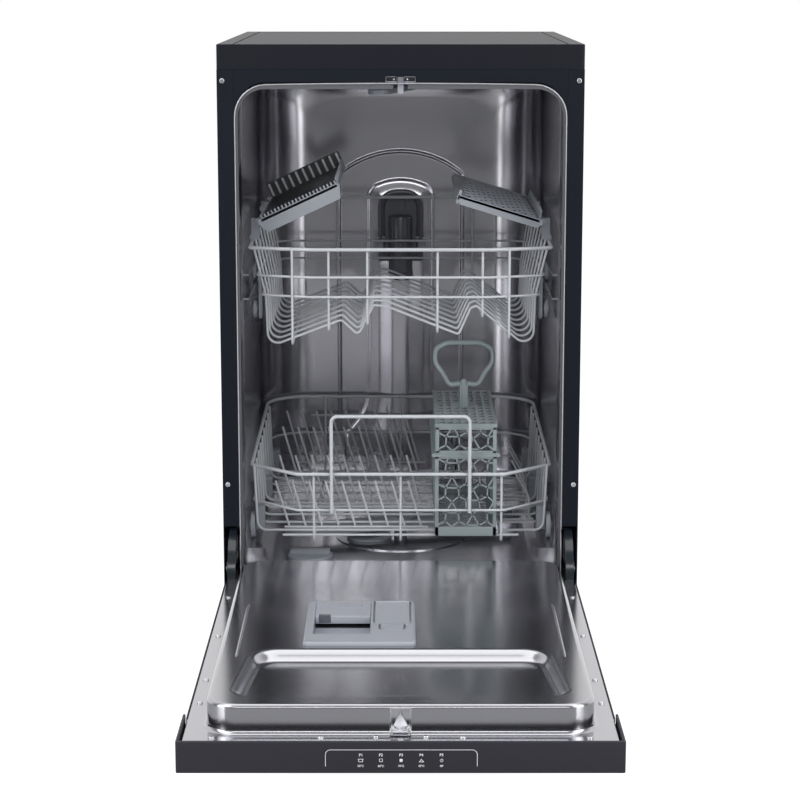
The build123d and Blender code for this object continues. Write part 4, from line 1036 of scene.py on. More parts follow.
@dataclass
class FeedDock:
    """The hooded dock on the duct, and the flat pipe and bearing on the ceiling."""

    face_y: float = 512.2
    half: float = 33.0
    low: float = 520.0
    high: float = 625.0
    foot_r: float = 4.0
    arch_r: float = 27.0
    hood_profile: tuple[tuple[float, float], ...] = (
        (0.0, 0.0), (0.0, 7.0), (1.2, 9.2), (3.0, 10.0), (5.0, 10.0), (6.4, 9.0), (6.8, 5.5),
        (8.2, 5.5), (9.4, 8.2), (10.4, 8.8))
    barrel_r: float = 17.5
    barrel_out: float = 8.0
    barrel_low: float = 497.0
    barrel_high: float = 590.0
    arm_y: float = 260.0

    def arch_outline(self, inset: float) -> np.ndarray:
        """Gives the hood's outline in x and z.

        Args:
            inset: How far the outline is drawn in.

        Returns:
            The closed outline, round at its upper corners.
        """
        half, low, high = self.half - inset, self.low + inset, self.high - inset
        corners = np.array([(half, low), (half, high), (-half, high), (-half, low)])
        upper = self.arch_r - inset
        return rounded(corners, [self.foot_r, upper, upper, self.foot_r], 7, closed=True)

    def hood(self) -> Shape:
        """Makes the hood from its profile of insets and depths.

        Returns:
            A rounded rim, a sunk channel inside it and a raised inner panel.
        """
        loops = [self.arch_outline(inset) for inset, _ in self.hood_profile]
        return stacked(loops, [self.face_y - depth for _, depth in self.hood_profile], Axis.Y)

    def barrel(self) -> Shape:
        """Makes the barrel under the hood.

        Returns:
            A flared collar, an upright cylinder and a low dome.
        """
        r, low, high = self.barrel_r, self.barrel_low, self.barrel_high
        dome = np.linspace(0.0, math.pi / 2, 7)
        profile = [(11.0, low - 3), (13.0, low - 4), (r - 0.8, low), (r + 1.0, low + 3), (r + 1.0, low + 7),
                   (r, low + 8.5), (r, high - 6)]
        profile += [(r * math.cos(a) + 0.2, high - 6 + 6 * math.sin(a)) for a in dome[1:]]
        return turned(profile, (0.0, self.face_y - self.barrel_out, 0.0), Axis.Z, 36)

    def build(self) -> None:
        """Makes the dock with its side pads, its upper latch and the ceiling run."""
        y = self.face_y
        latch = slab((-5.5, y - 12.0, 596.0), (5.5, y - 8.6, 612.0), 2.5, 0.6, Axis.Y)
        slit = slab((-1.1, y - 13.2, 599.0), (1.1, y - 11.9, 609.0), 1.0, 0.3, Axis.Y)
        make("feed_dock", joined([self.hood(), self.barrel(), latch, slit]), DOCK_PLASTIC, "cabinet",
             ["rear_feed_pipe"], crease=28.0)
        pad = slab((25.0, y - 11.5, 538.0), (36.0, y - 0.5, 549.0), 2.5, 1.0, Axis.Y)
        bar = slab((22.0, y - 9.0, 553.0), (35.0, y - 0.5, 556.0), 1.0, 0.5, Axis.Y)
        make("feed_dock_pads", both(joined([pad, bar])), PALE_PLASTIC, "cabinet")
        run = slab((-11.0, self.arm_y - 12.0, 794.0), (11.0, 474.0, 801.9), 6.0, 1.6)
        bearing = turned([(7.5, 786.0), (9.0, 787.2), (9.0, 794.6)], (0.0, self.arm_y, 0.0), Axis.Z, 28)
        make("ceiling_pipe", joined([run, bearing]), GREY_PLASTIC, "cabinet")


# The door


@dataclass
class DoorLiner:
    """The door's steel liner: a flat flange, a raised pan and the trough in it."""

    flange_half: float = 220.6
    flange_front: float = -612.0
    flange_rear: float = -3.0
    flange_z: float = 178.0
    flange_r: float = 3.0
    pan_half: float = 198.3
    pan_front: float = -581.7
    pan_rear: float = -20.0
    pan_z: float = 209.5
    pan_r: float = 30.0
    foot_r: float = 5.0
    edge_r: float = 4.0
    trough_depth: float = 11.0
    rim_rear: tuple[float, float] = (163.0, -392.0)
    rim_front: tuple[float, float] = (177.0, -553.0)
    rim_radii: tuple[float, float] = (32.0, 22.0)
    floor_rear: tuple[float, float] = (151.0, -408.0)
    floor_front: tuple[float, float] = (163.0, -541.0)
    floor_radii: tuple[float, float] = (24.0, 16.0)
    border_width: float = 1.2
    trough_lap: float = 0.12
    dispenser: tuple[float, float, float, float] = (-107.5, 16.5, -382.0, -218.0)
    opening_inset: float = 3.0
    opening_r: float = 7.0
    track_x: float = -177.6
    track_ends: tuple[float, float] = (-215.0, -425.0)
    track_ramp: float = 10.0
    track_sink: float = 0.9
    track_bend: float = 12.0
    track_r: float = 1.6
    track_flat: float = 0.45
    sheet: float = 1.1
    wall_points: int = 6
    trough_rows: int = 9

    def flange_loop(self, inset: float) -> np.ndarray:
        """Gives the flange's plan outline, drawn in by an inset."""
        return box_loop(-self.flange_half + inset, self.flange_half - inset, self.flange_front + inset,
                        self.flange_rear - inset, self.flange_r - inset, 4)

    def pan_loop(self, inset: float) -> np.ndarray:
        """Gives the pan's plan outline, drawn in by an inset."""
        return box_loop(-self.pan_half + inset, self.pan_half - inset, self.pan_front + inset,
                        self.pan_rear - inset, self.pan_r - inset, 8)

    def opening(self, inset: float) -> np.ndarray:
        """Gives the outline of the dispenser's opening, drawn in by an inset from the dispenser."""
        x0, x1, y0, y1 = self.dispenser
        return box_loop(x0 + inset, x1 - inset, y0 + inset, y1 - inset, self.opening_r - inset, 4)

    def wall(self) -> Shape:
        """Makes the pan's wall: a soft foot fillet, an upright and a rounded upper edge.

        The foot's inset is foot_r * (sin(a) - 1) and the edge's is edge_r * (1 - cos(a)), with a
        from 0 to 90 degrees.

        Returns:
            The wall, open at both ends.
        """
        angle = np.linspace(0.0, math.pi / 2, self.wall_points)
        foot_in = -self.foot_r * (1 - np.sin(angle))
        foot_z = self.flange_z + self.foot_r * (1 - np.cos(angle))
        edge_in = self.edge_r * (1 - np.cos(angle))
        edge_z = self.pan_z - self.edge_r * (1 - np.sin(angle))
        insets = np.concatenate([foot_in, edge_in])
        heights = np.concatenate([foot_z, edge_z])
        return stacked([self.pan_loop(inset) for inset in insets], heights, caps=False)

    def tapered(self, rear: tuple[float, float], front: tuple[float, float],
                radii: tuple[float, float]) -> np.ndarray:
        """Gives a four-sided outline, the same on both sides of x = 0.

        Args:
            rear: The right rear corner.
            front: The right front corner.
            radii: The radius of the rear corners and of the front ones.

        Returns:
            The closed outline.
        """
        corners = np.array([(-rear[0], rear[1]), rear, front, (-front[0], front[1])])
        return rounded(corners, [radii[0], radii[0], radii[1], radii[1]], 9, closed=True)

    def trough_loop(self, share: float) -> np.ndarray:
        """Gives an outline between the trough's rim and its floor, or a little past either.

        Args:
            share: 0 at the rim and 1 at the floor's edge.

        Returns:
            The outline, rim * (1 - share) + floor * share.
        """
        rim = self.tapered(self.rim_rear, self.rim_front, self.rim_radii)
        floor = self.tapered(self.floor_rear, self.floor_front, self.floor_radii)
        return rim * (1 - share) + floor * share

    def trough(self) -> Shape:
        """Makes the trough, which sinks by depth * (1 - cos(180 deg * share)) / 2.

        Returns:
            The trough's wall and its flat floor.
        """
        steps = np.linspace(0.0, 1.0, self.trough_rows)
        heights = self.pan_z - self.trough_depth * (1 - np.cos(math.pi * steps)) / 2
        low = self.pan_z - self.trough_depth
        bowl = stacked([self.trough_loop(step) for step in steps], heights, caps=False)
        inside = self.trough_loop(1.0 + self.trough_lap)
        return joined([bowl, self.border(self.trough_loop(1.0), inside, low), flat_face(inside, [], low)])

    def border(self, outer: np.ndarray, inner: np.ndarray, z: float) -> Shape:
        """Makes a narrow flat strip between two loops, which keeps the shading level up to a rim."""
        return stacked([outer, inner], [z, z], caps=False)

    def track(self) -> Shape:
        """Makes the pressed track on the pan that a lower wheel follows.

        Returns:
            A low flattened bar whose ends sink into the pan.
        """
        x, z, ramp = self.track_x, self.pan_z, self.track_ramp
        (rear, front), low = self.track_ends, self.pan_z - self.track_sink
        path = np.array([(x, rear, low), (x, rear - ramp, z), (x, front + ramp, z), (x, front, low)])
        line = rounded(path, self.track_bend, 4)
        return tube(line, self.track_r, (0.0, 0.0, 1.0), 10, self.track_flat)

    def build(self) -> None:
        """Makes the liner with its flange, pan, trough and tracks."""
        width = self.border_width
        outer, outer_flat = self.flange_loop(0.0), self.flange_loop(width)
        foot, foot_flat = self.pan_loop(-self.foot_r), self.pan_loop(-self.foot_r - width)
        edge, edge_flat = self.pan_loop(self.edge_r), self.pan_loop(self.edge_r + width)
        rim, rim_flat = self.trough_loop(0.0), self.trough_loop(-self.trough_lap)
        opening = self.opening(self.opening_inset)
        opening_flat = self.opening(self.opening_inset - width)
        flange = flat_face(outer_flat, [foot_flat], self.flange_z)
        top = flat_face(edge_flat, [rim_flat, opening_flat], self.pan_z)
        borders = [
            self.border(outer, outer_flat, self.flange_z), self.border(opening_flat, opening, self.pan_z),
            self.border(foot_flat, foot, self.flange_z), self.border(edge, edge_flat, self.pan_z),
            self.border(rim_flat, rim, self.pan_z)]
        shape = joined([flange, self.wall(), top, self.trough(), *borders])
        make("door_liner", shape, DOOR_STEEL, "door", ["door_inner_liner"], thickness=self.sheet,
             facing=(0.0, -300.0, 900.0), crease=30.0)
        make("door_wheel_tracks", both(self.track()), DOOR_STEEL, "door")


@dataclass
class Striker:
    """The folded striker plate on the pan's end, with its faceted catch wedge."""

    y: float = -581.75
    thick: float = 1.6
    half: float = 11.0
    low: float = 180.5
    high: float = 206.5
    nose: float = 5.4

    def wedge(self) -> Shape:
        """Makes the wedge: a kite on the plate that rises to an upright ridge.

        Returns:
            The wedge, closed at the plate.
        """
        y, tip = self.y - self.thick, self.y - self.thick - self.nose
        points = np.array([(0, y, 206.4), (7.6, y, 187.5), (0, y, 181.0), (-7.6, y, 187.5),
                           (0, tip, 203.2), (0, tip, 189.0), (0, y + 0.5, 194.0)], float)
        tris = np.array([(0, 4, 1), (1, 4, 5), (1, 5, 2), (2, 5, 3), (3, 5, 4), (3, 4, 0),
                         (0, 1, 6), (1, 2, 6), (2, 3, 6), (3, 0, 6)])
        return Shape(points, [tris])

    def build(self) -> None:
        """Makes the plate, its side rims and the wedge."""
        y, face = self.y, self.y - self.thick
        sheet = slab((-self.half, face, self.low), (self.half, y, self.high), 1.5, 0.3, Axis.Y)
        rim = slab((9.4, face - 2.2, self.low), (self.half, y, self.high - 2), 0.7, 0.3, Axis.Y)
        foot = slab((-8.0, face - 1.2, self.low), (8.0, y, self.low + 1.4), 0.6, 0.3, Axis.Y)
        make("striker_plate", joined([sheet, both(rim), foot]), BRIGHT_STEEL, "door", ["door_striker"])
        make("striker_wedge", self.wedge(), BRIGHT_STEEL, "door", crease=10.0)


@dataclass
class Dispenser:
    """The detergent dispenser in the door: body, sliding lid with its window, and rinse-aid flap."""

    x0: float = -107.5
    x1: float = 16.5
    y0: float = -382.0
    y1: float = -218.0
    foot_z: float = 209.55
    top_z: float = 213.5
    edge_r: float = 2.4
    pocket_z: float = 190.5
    tray_front: float = -351.6
    tray_z: float = 200.4
    tray_rise: float = 4.6
    tray_curl: float = 8.0
    curl_from: float = 0.85
    curl_over: float = 0.15
    lid_x0: float = -97.6
    lid_x1: float = -34.4
    lid_front: float = -285.0
    lid_rear: float = -228.4
    lid_low: float = 205.6
    lid_high: float = 214.9
    finger_slot: tuple[float, float, float, float] = (-84.0, -44.0, -252.0, -240.0)
    window: tuple[float, float, float] = (-93.5, -79.5, 206.4)
    flap: tuple[float, float, float, float] = (-29.0, 10.0, -310.0, -222.3)
    tab_front: float = -336.0
    flap_sink: float = 3.4
    flap_dish: float = 0.5
    deck_rise: float = 0.8

    def body(self) -> Shape:
        """Makes the body with the tray's pocket, the flap's bed and the latch tab's bed.

        Returns:
            A rounded rim, the top, and the pockets' walls and floors.
        """
        angle = np.linspace(0.0, math.pi / 2, 6)
        insets = np.concatenate([[0.0], self.edge_r * (1 - np.cos(angle))])
        heights = np.concatenate([[self.foot_z], self.top_z - self.edge_r * (1 - np.sin(angle))])
        loops = [box_loop(self.x0 + k, self.x1 - k, self.y0 + k, self.y1 - k, 6.0 - k, 6) for k in insets]
        x0, x1, y0, y1 = self.flap
        bed = self.top_z - self.flap_sink
        pockets = [(box_loop(self.lid_x0 - 0.4, self.lid_x1 + 0.4, self.tray_front - 0.4,
                             self.lid_rear + 0.4, 3.0), self.pocket_z),
                   (box_loop(x0 - 2.4, x1 + 2.4, y0 + 0.5, y1 + 2.0, 1.0), bed),
                   (box_loop(x0 + 4.4, x1 - 4.4, self.tab_front, y0 + 0.1, 3.5), bed)]
        sides = [stacked([loop, loop], [self.top_z, z], caps=False) for loop, z in pockets]
        floors = [flat_face(loop, [], z) for loop, z in pockets]
        top = flat_face(loops[-1], [loop for loop, _ in pockets], self.top_z)
        return joined([stacked(loops, heights, caps=False), top, *sides, *floors])

    def tray(self) -> Shape:
        """Makes the tray's floor, which rises evenly and curls up over its last seventh.

        Its height is tray_z + tray_rise * share + tray_curl * ((share - curl_from) / curl_over)^2.

        Returns:
            The floor, solid down to the pocket.
        """
        share = np.linspace(0.0, 1.0, 26)
        y = self.lid_front + 1.0 + share * (self.tray_front - self.lid_front - 1.0)
        curl = self.tray_curl * np.clip((share - self.curl_from) / self.curl_over, 0.0, 1.0) ** 2
        z = self.tray_z + self.tray_rise * share + curl
        ends = np.array([(y[-1], self.pocket_z + 0.1), (y[0], self.pocket_z + 0.1)])
        profile = np.concatenate([np.column_stack([y, z]), ends])
        return stacked([profile, profile], [self.lid_x0, self.lid_x1], Axis.X)

    def deck(self) -> Shape:
        """Makes the raised front deck, notched for the tray and for the flap's latch tab.

        Returns:
            The deck.
        """
        x0, x1, y0, _ = self.flap
        notch = self.tab_front - 0.2
        outline = np.array([(-33.2, y0 + 0.6), (x0 + 4.2, y0 + 0.6), (x0 + 4.2, notch), (x1 - 4.2, notch),
                            (x1 - 4.2, y0 + 0.6), (self.x1 - 2.2, y0 + 0.6), (self.x1 - 2.2, self.y0 + 2.2),
                            (self.x0 + 2.2, self.y0 + 2.2), (self.x0 + 2.2, self.tray_front - 1.2),
                            (-33.2, self.tray_front - 1.2)])
        line = rounded(outline, [0.8, 0.8, 4.0, 4.0, 0.8, 2.0, 3.0, 3.0, 2.0, 1.0], 4, closed=True)
        return plate(line, [], self.top_z - 0.3, self.top_z + self.deck_rise)

    def lid(self) -> Shape:
        """Makes the sliding lid, whose rim's round bar lies 1.1 mm below its top.

        Returns:
            A box with a soft front edge and a finger slot in its top.
        """
        x0, x1, front, high = self.lid_x0, self.lid_x1, self.lid_front, self.lid_high
        case = slab((x0, front, self.lid_low), (x1, self.lid_rear, high - 1.0), 1.0, 0.4)
        slot = box_loop(*self.finger_slot, 1.6)
        cover = plate(box_loop(x0 + 0.2, x1 - 0.2, front + 1.1, self.lid_rear - 0.2, 1.0), [slot],
                      high - 1.2, high)
        rim_y, rim_z = front + 1.15, high - 1.1
        rim = np.array([(x0 + 0.4, rim_y, rim_z), ((x0 + x1) / 2, rim_y, rim_z), (x1 - 0.4, rim_y, rim_z)])
        nose = tube(rim, 1.1, (0.0, 0.0, 1.0), 12)
        lip = slab((-83.4, -243.4, high - 1.2), (-44.6, -242.2, high - 0.3), 0.5, 0.2)
        return joined([case, cover, nose, lip])

    def flap_shape(self) -> Shape:
        """Makes the flap, whose top is dished by flap_dish * sin(180 deg * share).

        Returns:
            The flap's plate, its hinge rod, and the latch tab and grip at its front.
        """
        x0, x1, y0, y1 = self.flap
        share = np.linspace(0.0, 1.0, 9)
        y = y0 + share * (y1 - y0)
        z = self.top_z - 0.1 - self.flap_dish * np.sin(math.pi * share)
        low = np.column_stack([y[::-1], np.full(9, self.top_z - 2.2)])
        profile = np.concatenate([np.column_stack([y, z]), low])
        cover = stacked([profile, profile], [x0, x1], Axis.X)
        middle = (x0 + x1) / 2
        rod_line = np.array([(x, y1, self.top_z - 0.6) for x in (x0, middle, x1)])
        rod = tube(rod_line, 1.5, (0.0, 0.0, 1.0), 12)
        tab = slab((x0 + 6.4, -333.4, self.top_z - 2.2), (x1 - 6.4, y0 + 0.2, self.top_z - 0.5), 3.0, 0.5)
        grip = slab((x0 + 8.0, -331.0, self.top_z - 1.0), (x1 - 8.0, -327.6, self.top_z + 1.0), 1.4, 0.5)
        return joined([cover, rod, tab, grip])

    def build(self) -> None:
        """Makes the dispenser's fixed body, its lid and its flap, each on its own body."""
        make("dispenser_case", self.body(), PALE_PLASTIC, "door", ["dispenser_body"],
             facing=(-45.0, -300.0, 900.0))
        make("dispenser_tray", self.tray(), PALE_PLASTIC, "door")
        make("dispenser_deck", self.deck(), PALE_PLASTIC, "door")
        make("sliding_lid", self.lid(), PALE_PLASTIC, "detergent_lid", ["detergent_lid"])
        front, (left, right, low) = self.lid_front, self.window
        window = slab((left, front - 0.25, low), (right, front + 7.0, self.lid_high + 0.2), 1.0, 0.4,
                      Axis.Y)
        make("lid_window", window, SMOKE_WINDOW, "detergent_lid")
        make("rinse_flap", self.flap_shape(), PALE_PLASTIC, "rinse_aid_flap", ["rinse_aid_flap"])


@dataclass
class DoorCatch:
    """The catch in the top rail's window: a case on each side of the hook, with a dark plate inside a pale
    rim as painted shade of the recess.
    """

    inner: float = 4.3
    outer: float = 18.6
    front: float = 3.0
    rear: float = 32.0
    low: float = 804.1
    high: float = 811.3

    def build(self) -> None:
        """Makes both case halves, the dark plates painted as the shade in their recesses, and the rivets."""
        front, low, high = self.front, self.low, self.high
        case = slab((self.inner, front, low), (self.outer, self.rear, high), 1.2, 0.5, Axis.Y)
        make("catch_case", both(case), PALE_PLASTIC, "cabinet", ["latch_housing"])
        # A black plate just in front of each case: painted shade of the recess inside the pale rim.
        recess_shade = slab((self.inner + 0.2, front - 0.5, low + 1.1), (self.outer - 1.2, front + 0.6, high - 1.0),
                     1.0, 0.2, Axis.Y)
        make("catch_recess_shade", both(recess_shade), BLACK_PLASTIC, "cabinet")
        rivet = turned([(0.3, front - 1.4), (1.0, front - 1.2), (1.5, front - 0.4)],
                       (8.2, 0.0, low + 3.6), Axis.Y, 16)
        make("catch_rivets", both(rivet), BRIGHT_STEEL, "cabinet")


@dataclass
class Fascia:
    """The control fascia on the door's end, with its printed bracket, legends and icons."""

    half: float = 225.0
    front: float = -617.85
    rear: float = -533.0
    low: float = 150.0
    high: float = 183.5
    wall: float = 3.85
    columns: tuple[float, ...] = (-39.91, -19.66, 0.50, 20.76, 40.91)
    name_z: float = 169.5
    icon_z: float = 163.8
    degree_z: float = 158.0
    name_height: float = 2.9
    degree_height: float = 2.3
    line_y: float = -617.92
    letter_weight: float = 0.022
    bold: float = 0.27
    fine: float = 0.18
    heats: tuple[str, ...] = ("50\u00b0C", "60\u00b0C", "70\u00b0C", "45\u00b0C", "40'")
    bracket: tuple[float, float, float, float] = (-75.1, 76.6, 157.4, 174.8)
    buttons: tuple[float, float] = (-150.0, -96.0)
    button_half: float = 7.0
    button_y: tuple[float, float] = (-584.0, -576.0)

    def channel(self) -> Shape:
        """Makes the fascia's own moulding.

        Returns:
            The front wall with round edges, the floor with its button holes and both ends.
        """
        half, front = self.half, self.front
        face = slab((-half, front, self.low), (half, front + self.wall, self.high), 1.5, 1.2, Axis.Y)
        outline = box_loop(-half + 0.4, half - 0.4, front + 2.0, self.rear, 1.0)
        wide = self.button_half
        holes = [box_loop(x - wide, x + wide, *self.button_y, 1.5) for x in self.buttons]
        floor = plate(outline, holes, self.low, self.low + 2.5)
        end = slab((half - 2.6, front + 1.0, self.low + 0.2), (half, self.rear, self.high - 0.3), 1.0, 0.5,
                   Axis.X)
        return joined([face, floor, both(end)])

    def lettering(self, words: str, x: float, z: float, height: float) -> Shape:
        """Sets one word on the front face.

        Args:
            words: The text.
            x: Its middle.
            z: Its middle height.
            height: Its height.

        Returns:
            The flat letters, a hair in front of the face.
        """
        curve = bpy.data.curves.new("words", "FONT")
        curve.body = words
        curve.offset = self.letter_weight
        holder = bpy.data.objects.new("words", curve)
        bpy.context.scene.collection.objects.link(holder)
        bpy.context.view_layer.update()
        mesh = bpy.data.meshes.new_from_object(holder.evaluated_get(bpy.context.evaluated_depsgraph_get()))
        places = np.empty(3 * len(mesh.vertices), np.float32)
        mesh.vertices.foreach_get("co", places)
        points = places.reshape(-1, 3)[:, :2].astype(float)
        mesh.calc_loop_triangles()
        triangles = np.empty(3 * len(mesh.loop_triangles), np.int32)
        mesh.loop_triangles.foreach_get("vertices", triangles)
        bpy.data.objects.remove(holder)
        bpy.data.curves.remove(curve)
        bpy.data.meshes.remove(mesh)
        low, high = points.min(axis=0), points.max(axis=0)
        flat = (points - (low + high) / 2) * height / (high - low)[1] + (x, z)
        depth = np.full(len(flat), self.line_y)
        return Shape(np.column_stack([flat[:, 0], depth, flat[:, 1]]), [triangles.reshape(-1, 3)])

    def stroke(self, points: Sequence[tuple[float, float]], radius: float, bend: float = 0.4) -> Shape:
        """Draws one printed line, a bar flattened on to the face.

        Args:
            points: Its corners, as x and z.
            radius: Half its width.
            bend: Its corners' radius.

        Returns:
            The line.
        """
        line = np.array([(x, self.line_y, z) for x, z in points])
        if len(line) == 2:
            line = np.array([line[0], line.mean(axis=0), line[1]])
        else:
            line = rounded(line, bend, 5)
        return tube(line, radius, (0.0, 1.0, 0.0), 6, 0.15)

    def icons(self) -> list[Shape]:
        """Draws the five programme icons: pot, glass, plate, cup and clock.

        Returns:
            The icons' strokes and the plate's filled square.
        """
        z, a, b, c, d, e = self.icon_z, *self.columns
        bold, fine = self.bold, self.fine
        angle = np.linspace(0.3, 2 * math.pi + 0.29, 17)
        ring = [(e + 1.5 * math.cos(t), z + 1.5 * math.sin(t)) for t in angle]
        pot = self.stroke([(a - 2, z + 1.2), (a - 2, z - 1.5), (a + 2, z - 1.5), (a + 2, z + 1.2)], bold)
        lid = self.stroke([(a - 2.8, z + 1.3), (a + 2.8, z + 1.3)], bold)
        bowl = [(b - 1.5, z + 1.8), (b - 1.5, z - 1.4), (b + 1.5, z - 1.4), (b + 1.5, z + 1.8)]
        glass = self.stroke(bowl, bold)
        leaf = self.stroke([(b - 1.5, z + 1.2), (b + 1.5, z + 1.8)], fine)
        block = slab((c - 1.5, self.line_y - 0.03, z - 1.6), (c + 1.5, self.line_y + 0.03, z + 1.6), 0.5,
                     0.02, Axis.Y)
        peak = [(d - 2.2, z - 1.5), (d - 0.6, z + 0.2), (d, z + 1.6), (d + 0.6, z + 0.2), (d + 2.2, z - 1.5)]
        cup = self.stroke(peak, bold)
        base = self.stroke([(d - 2.4, z - 1.6), (d + 2.4, z - 1.6)], bold)
        clock = self.stroke(ring, fine, 0.2)
        hand = self.stroke([(e, z + 1.0), (e, z), (e + 0.8, z)], 0.16, 0.1)
        return [pot, lid, glass, leaf, block, cup, base, clock, hand]

    def build(self) -> None:
        """Makes the fascia and its print."""
        make("control_fascia", self.channel(), FASCIA, "door", ["door_fascia"])
        left, right, foot, top = self.bracket
        printed = [self.stroke([(left, foot), (left, top), (right, top), (right, foot)], 0.28, 5.0)]
        for number, (x, heat) in enumerate(zip(self.columns, self.heats), start=1):
            printed.append(self.lettering(f"P{number}", x, self.name_z, self.name_height))
            printed.append(self.lettering(heat, x, self.degree_z, self.degree_height))
        make("fascia_print", joined(printed + self.icons()), INK, "door", facing=(0.0, -5000.0, 165.0))


# The baskets' moulded parts and wheels


@dataclass
class CupShelf:
    """A tilting cup shelf, laid out flat with its hinge on the Y axis and then tilted in place."""

    side: Side
    tilt: float
    lip: float
    hinge_x: float = 183.0
    hinge_z: float = 623.0
    y0: float = 84.0
    y1: float = 372.0
    width: float = 116.0
    ears: tuple[float, float] = (110.0, 320.0)
    slot_long: float = 11.0
    slot_wide: float = 12.0
    slot_pitch_x: float = 15.0
    slot_pitch_y: float = 18.0
    first_slot: float = 17.0
    lip_teeth: int = 22
    fins: int = 11
    comb_teeth: int = 26
    hinge_bars: int = 24
    hinge_bar_x: float = 7.0
    hinge_bar_z: tuple[float, float] = (1.0, 12.5)

    def placed(self, shape: Shape) -> Shape:
        """Carries a flat part of the shelf to its side and tilt."""
        flat = shape if self.side is Side.LEFT else shape.mirrored()
        return flat.tilted(self.side.value * self.tilt, self.side.value * self.hinge_x, self.hinge_z)

    def floor(self) -> Shape:
        """Makes the slotted floor, every other row of slots half a pitch along.

        Returns:
            The floor.
        """
        holes = []
        long, wide = self.slot_long / 2, self.slot_wide / 2
        for row, y in enumerate(np.arange(self.y0 + 14, self.y1 - 12, self.slot_pitch_y)):
            start = self.first_slot + (row % 2) * self.slot_pitch_x / 2
            for x in np.arange(start, self.width - long - 4, self.slot_pitch_x):
                holes.append(box_loop(x - long, x + long, y - wide, y + wide, 2.0, 1))
        return plate(box_loop(4.0, self.width, self.y0, self.y1, 3.0, 2), holes, -1.5, 1.5)

    def front_wall(self) -> Shape:
        """Makes the front wall, its lower free corner cut back.

        Returns:
            The wall.
        """
        outline = np.array([(3.0, 2.6), (2.0, -3.0), (8.0, -self.lip), (self.width - 6, -self.lip),
                            (self.width, -2.0), (self.width, 2.6)])
        return plate(rounded(outline, 2.0, 4, closed=True), [], self.y0, self.y0 + 2.4, Axis.Y)

    def ear_parts(self) -> list[Shape]:
        """Makes the two hinge barrels and their webs.

        Returns:
            The barrels and the webs, which lie flat.
        """
        parts = []
        for y in self.ears:
            parts.append(turned([(2.1, -8.0), (3.6, -8.0), (4.0, -7.5), (4.0, 7.5), (3.6, 8.0), (2.1, 8.0)],
                                (0.0, y, 0.0), Axis.Y, 20))
            parts.append(slab((2.5, y - 7.0, -1.6), (9.0, y + 7.0, 1.6), 1.0, 0.4))
        return parts

    def teeth(self, count: int, wide: float, tall: float, y0: float, y1: float) -> list[Shape]:
        """Makes a row of upright teeth across the shelf, square to its floor."""
        spots = np.linspace(9.0, self.width - 4.0, count)
        return [slab((x - wide / 2, y0, 0.5), (x + wide / 2, y1, tall), 0.6, 0.4) for x in spots]

    def bricks(self) -> list[Shape]:
        """Makes the raised ribs between the rows of slots, staggered like bricks.

        Returns:
            The ribs.
        """
        parts = []
        half = self.slot_pitch_x / 2
        for row, y in enumerate(np.arange(self.y0 + 23, self.y1 - 22, self.slot_pitch_y)):
            start = self.first_slot + (row % 2) * half
            for x in np.arange(start, self.width - 12.0, self.slot_pitch_x):
                parts.append(slab((x - half + 1.2, y - 1.6, 1.0), (x + half - 1.2, y + 1.6, 3.3), 0.8, 0.4))
        return parts

    def end_comb(self) -> list[Shape]:
        """Makes the free edge's comb, whose slits show from the front.

        Returns:
            The edge's rail and its teeth.
        """
        spots = np.linspace(self.y0 + 6, self.y1 - 6, self.comb_teeth)
        rail = slab((self.width - 2.4, self.y0, -3.0), (self.width, self.y1, 3.4), 1.0, 0.5)
        return [rail] + [slab((self.width - 2.2, y - 2.2, 2.0), (self.width - 0.4, y + 2.2, 9.5), 0.6, 0.4)
                         for y in spots]

    def hinge_comb(self) -> Shape:
        """Makes the zigzag of bars that stands along the hinge edge.

        Returns:
            The bars.
        """
        corner = np.arange(self.hinge_bars + 1)
        y = np.linspace(self.y0 + 8, self.y1 - 8, len(corner))
        z = np.where(corner % 2 == 0, *self.hinge_bar_z)
        points = np.column_stack([np.full(len(corner), self.hinge_bar_x), y, z])
        return sticks(points[:-1], points[1:], 1.8, (1.0, 0.0, 0.0), 2.0)

    def build(self) -> None:
        """Makes the left comb tray or the right slotted plate; their dark back plate and bed plates are
        painted shade, and the left fins' pale finish is painted light.
        """
        name = f"cup_shelf_{self.side.name.lower()}"
        x, y0, y1 = self.width, self.y0, self.y1
        parts = [self.floor(), self.front_wall(), *self.ear_parts()]
        if self.side is Side.LEFT:
            parts += self.teeth(self.lip_teeth, 2.1, 7.0, y0 + 0.2, y0 + 2.0) + self.end_comb()
            fins = self.teeth(self.fins, 3.0, 20.5, y1 - 9.0, y1 - 3.0)
            # The fins take the pale finish as painted light; the same plastic elsewhere on the shelf is
            # darker grey.
            make(name + "_fins", self.placed(joined(fins)), FIN_PAINTED_LIGHT_PLASTIC, name)
            # The back plate is dark as painted shade behind the fins.
            back = plate(box_loop(5.0, x, -2.0, 22.0, 2.0), [], y1 - 2.2, y1 - 0.4, Axis.Y)
            make(name + "_back", self.placed(back), PAINTED_SHADE_PLASTIC, name)
            # A dark bed plate between the teeth and fins: painted shade on the shelf floor.
            bed = slab((8.0, y0 + 4.0, 1.4), (x - 5, y1 - 4.0, 2.4), 2.0, 0.3)
        else:
            hook = slab((x - 4.0, y0, -self.lip), (x, y0 + 5.0, 9.0), 1.2, 0.6)
            edge = slab((x - 2.4, y0, -4.5), (x, y1, 3.0), 1.0, 0.5)
            parts += [hook, self.hinge_comb(), *self.bricks(), edge]
            # A dark bed plate inside the slotted floor closes the slots, so they show painted shade.
            bed = slab((8.0, y0 + 4.0, 0.7), (x - 5, y1 - 4.0, 1.3), 2.0, 0.2)
        make(name + "_shade_bed", self.placed(bed), PAINTED_SHADE_PLASTIC, name)
        rear = slab((5.0, y1 - 2.0, -3.0), (x, y1, 4.0), 1.0, 0.4)
        make(name + "_tray", self.placed(joined(parts + [rear])), GREY_PLASTIC, name, [name])


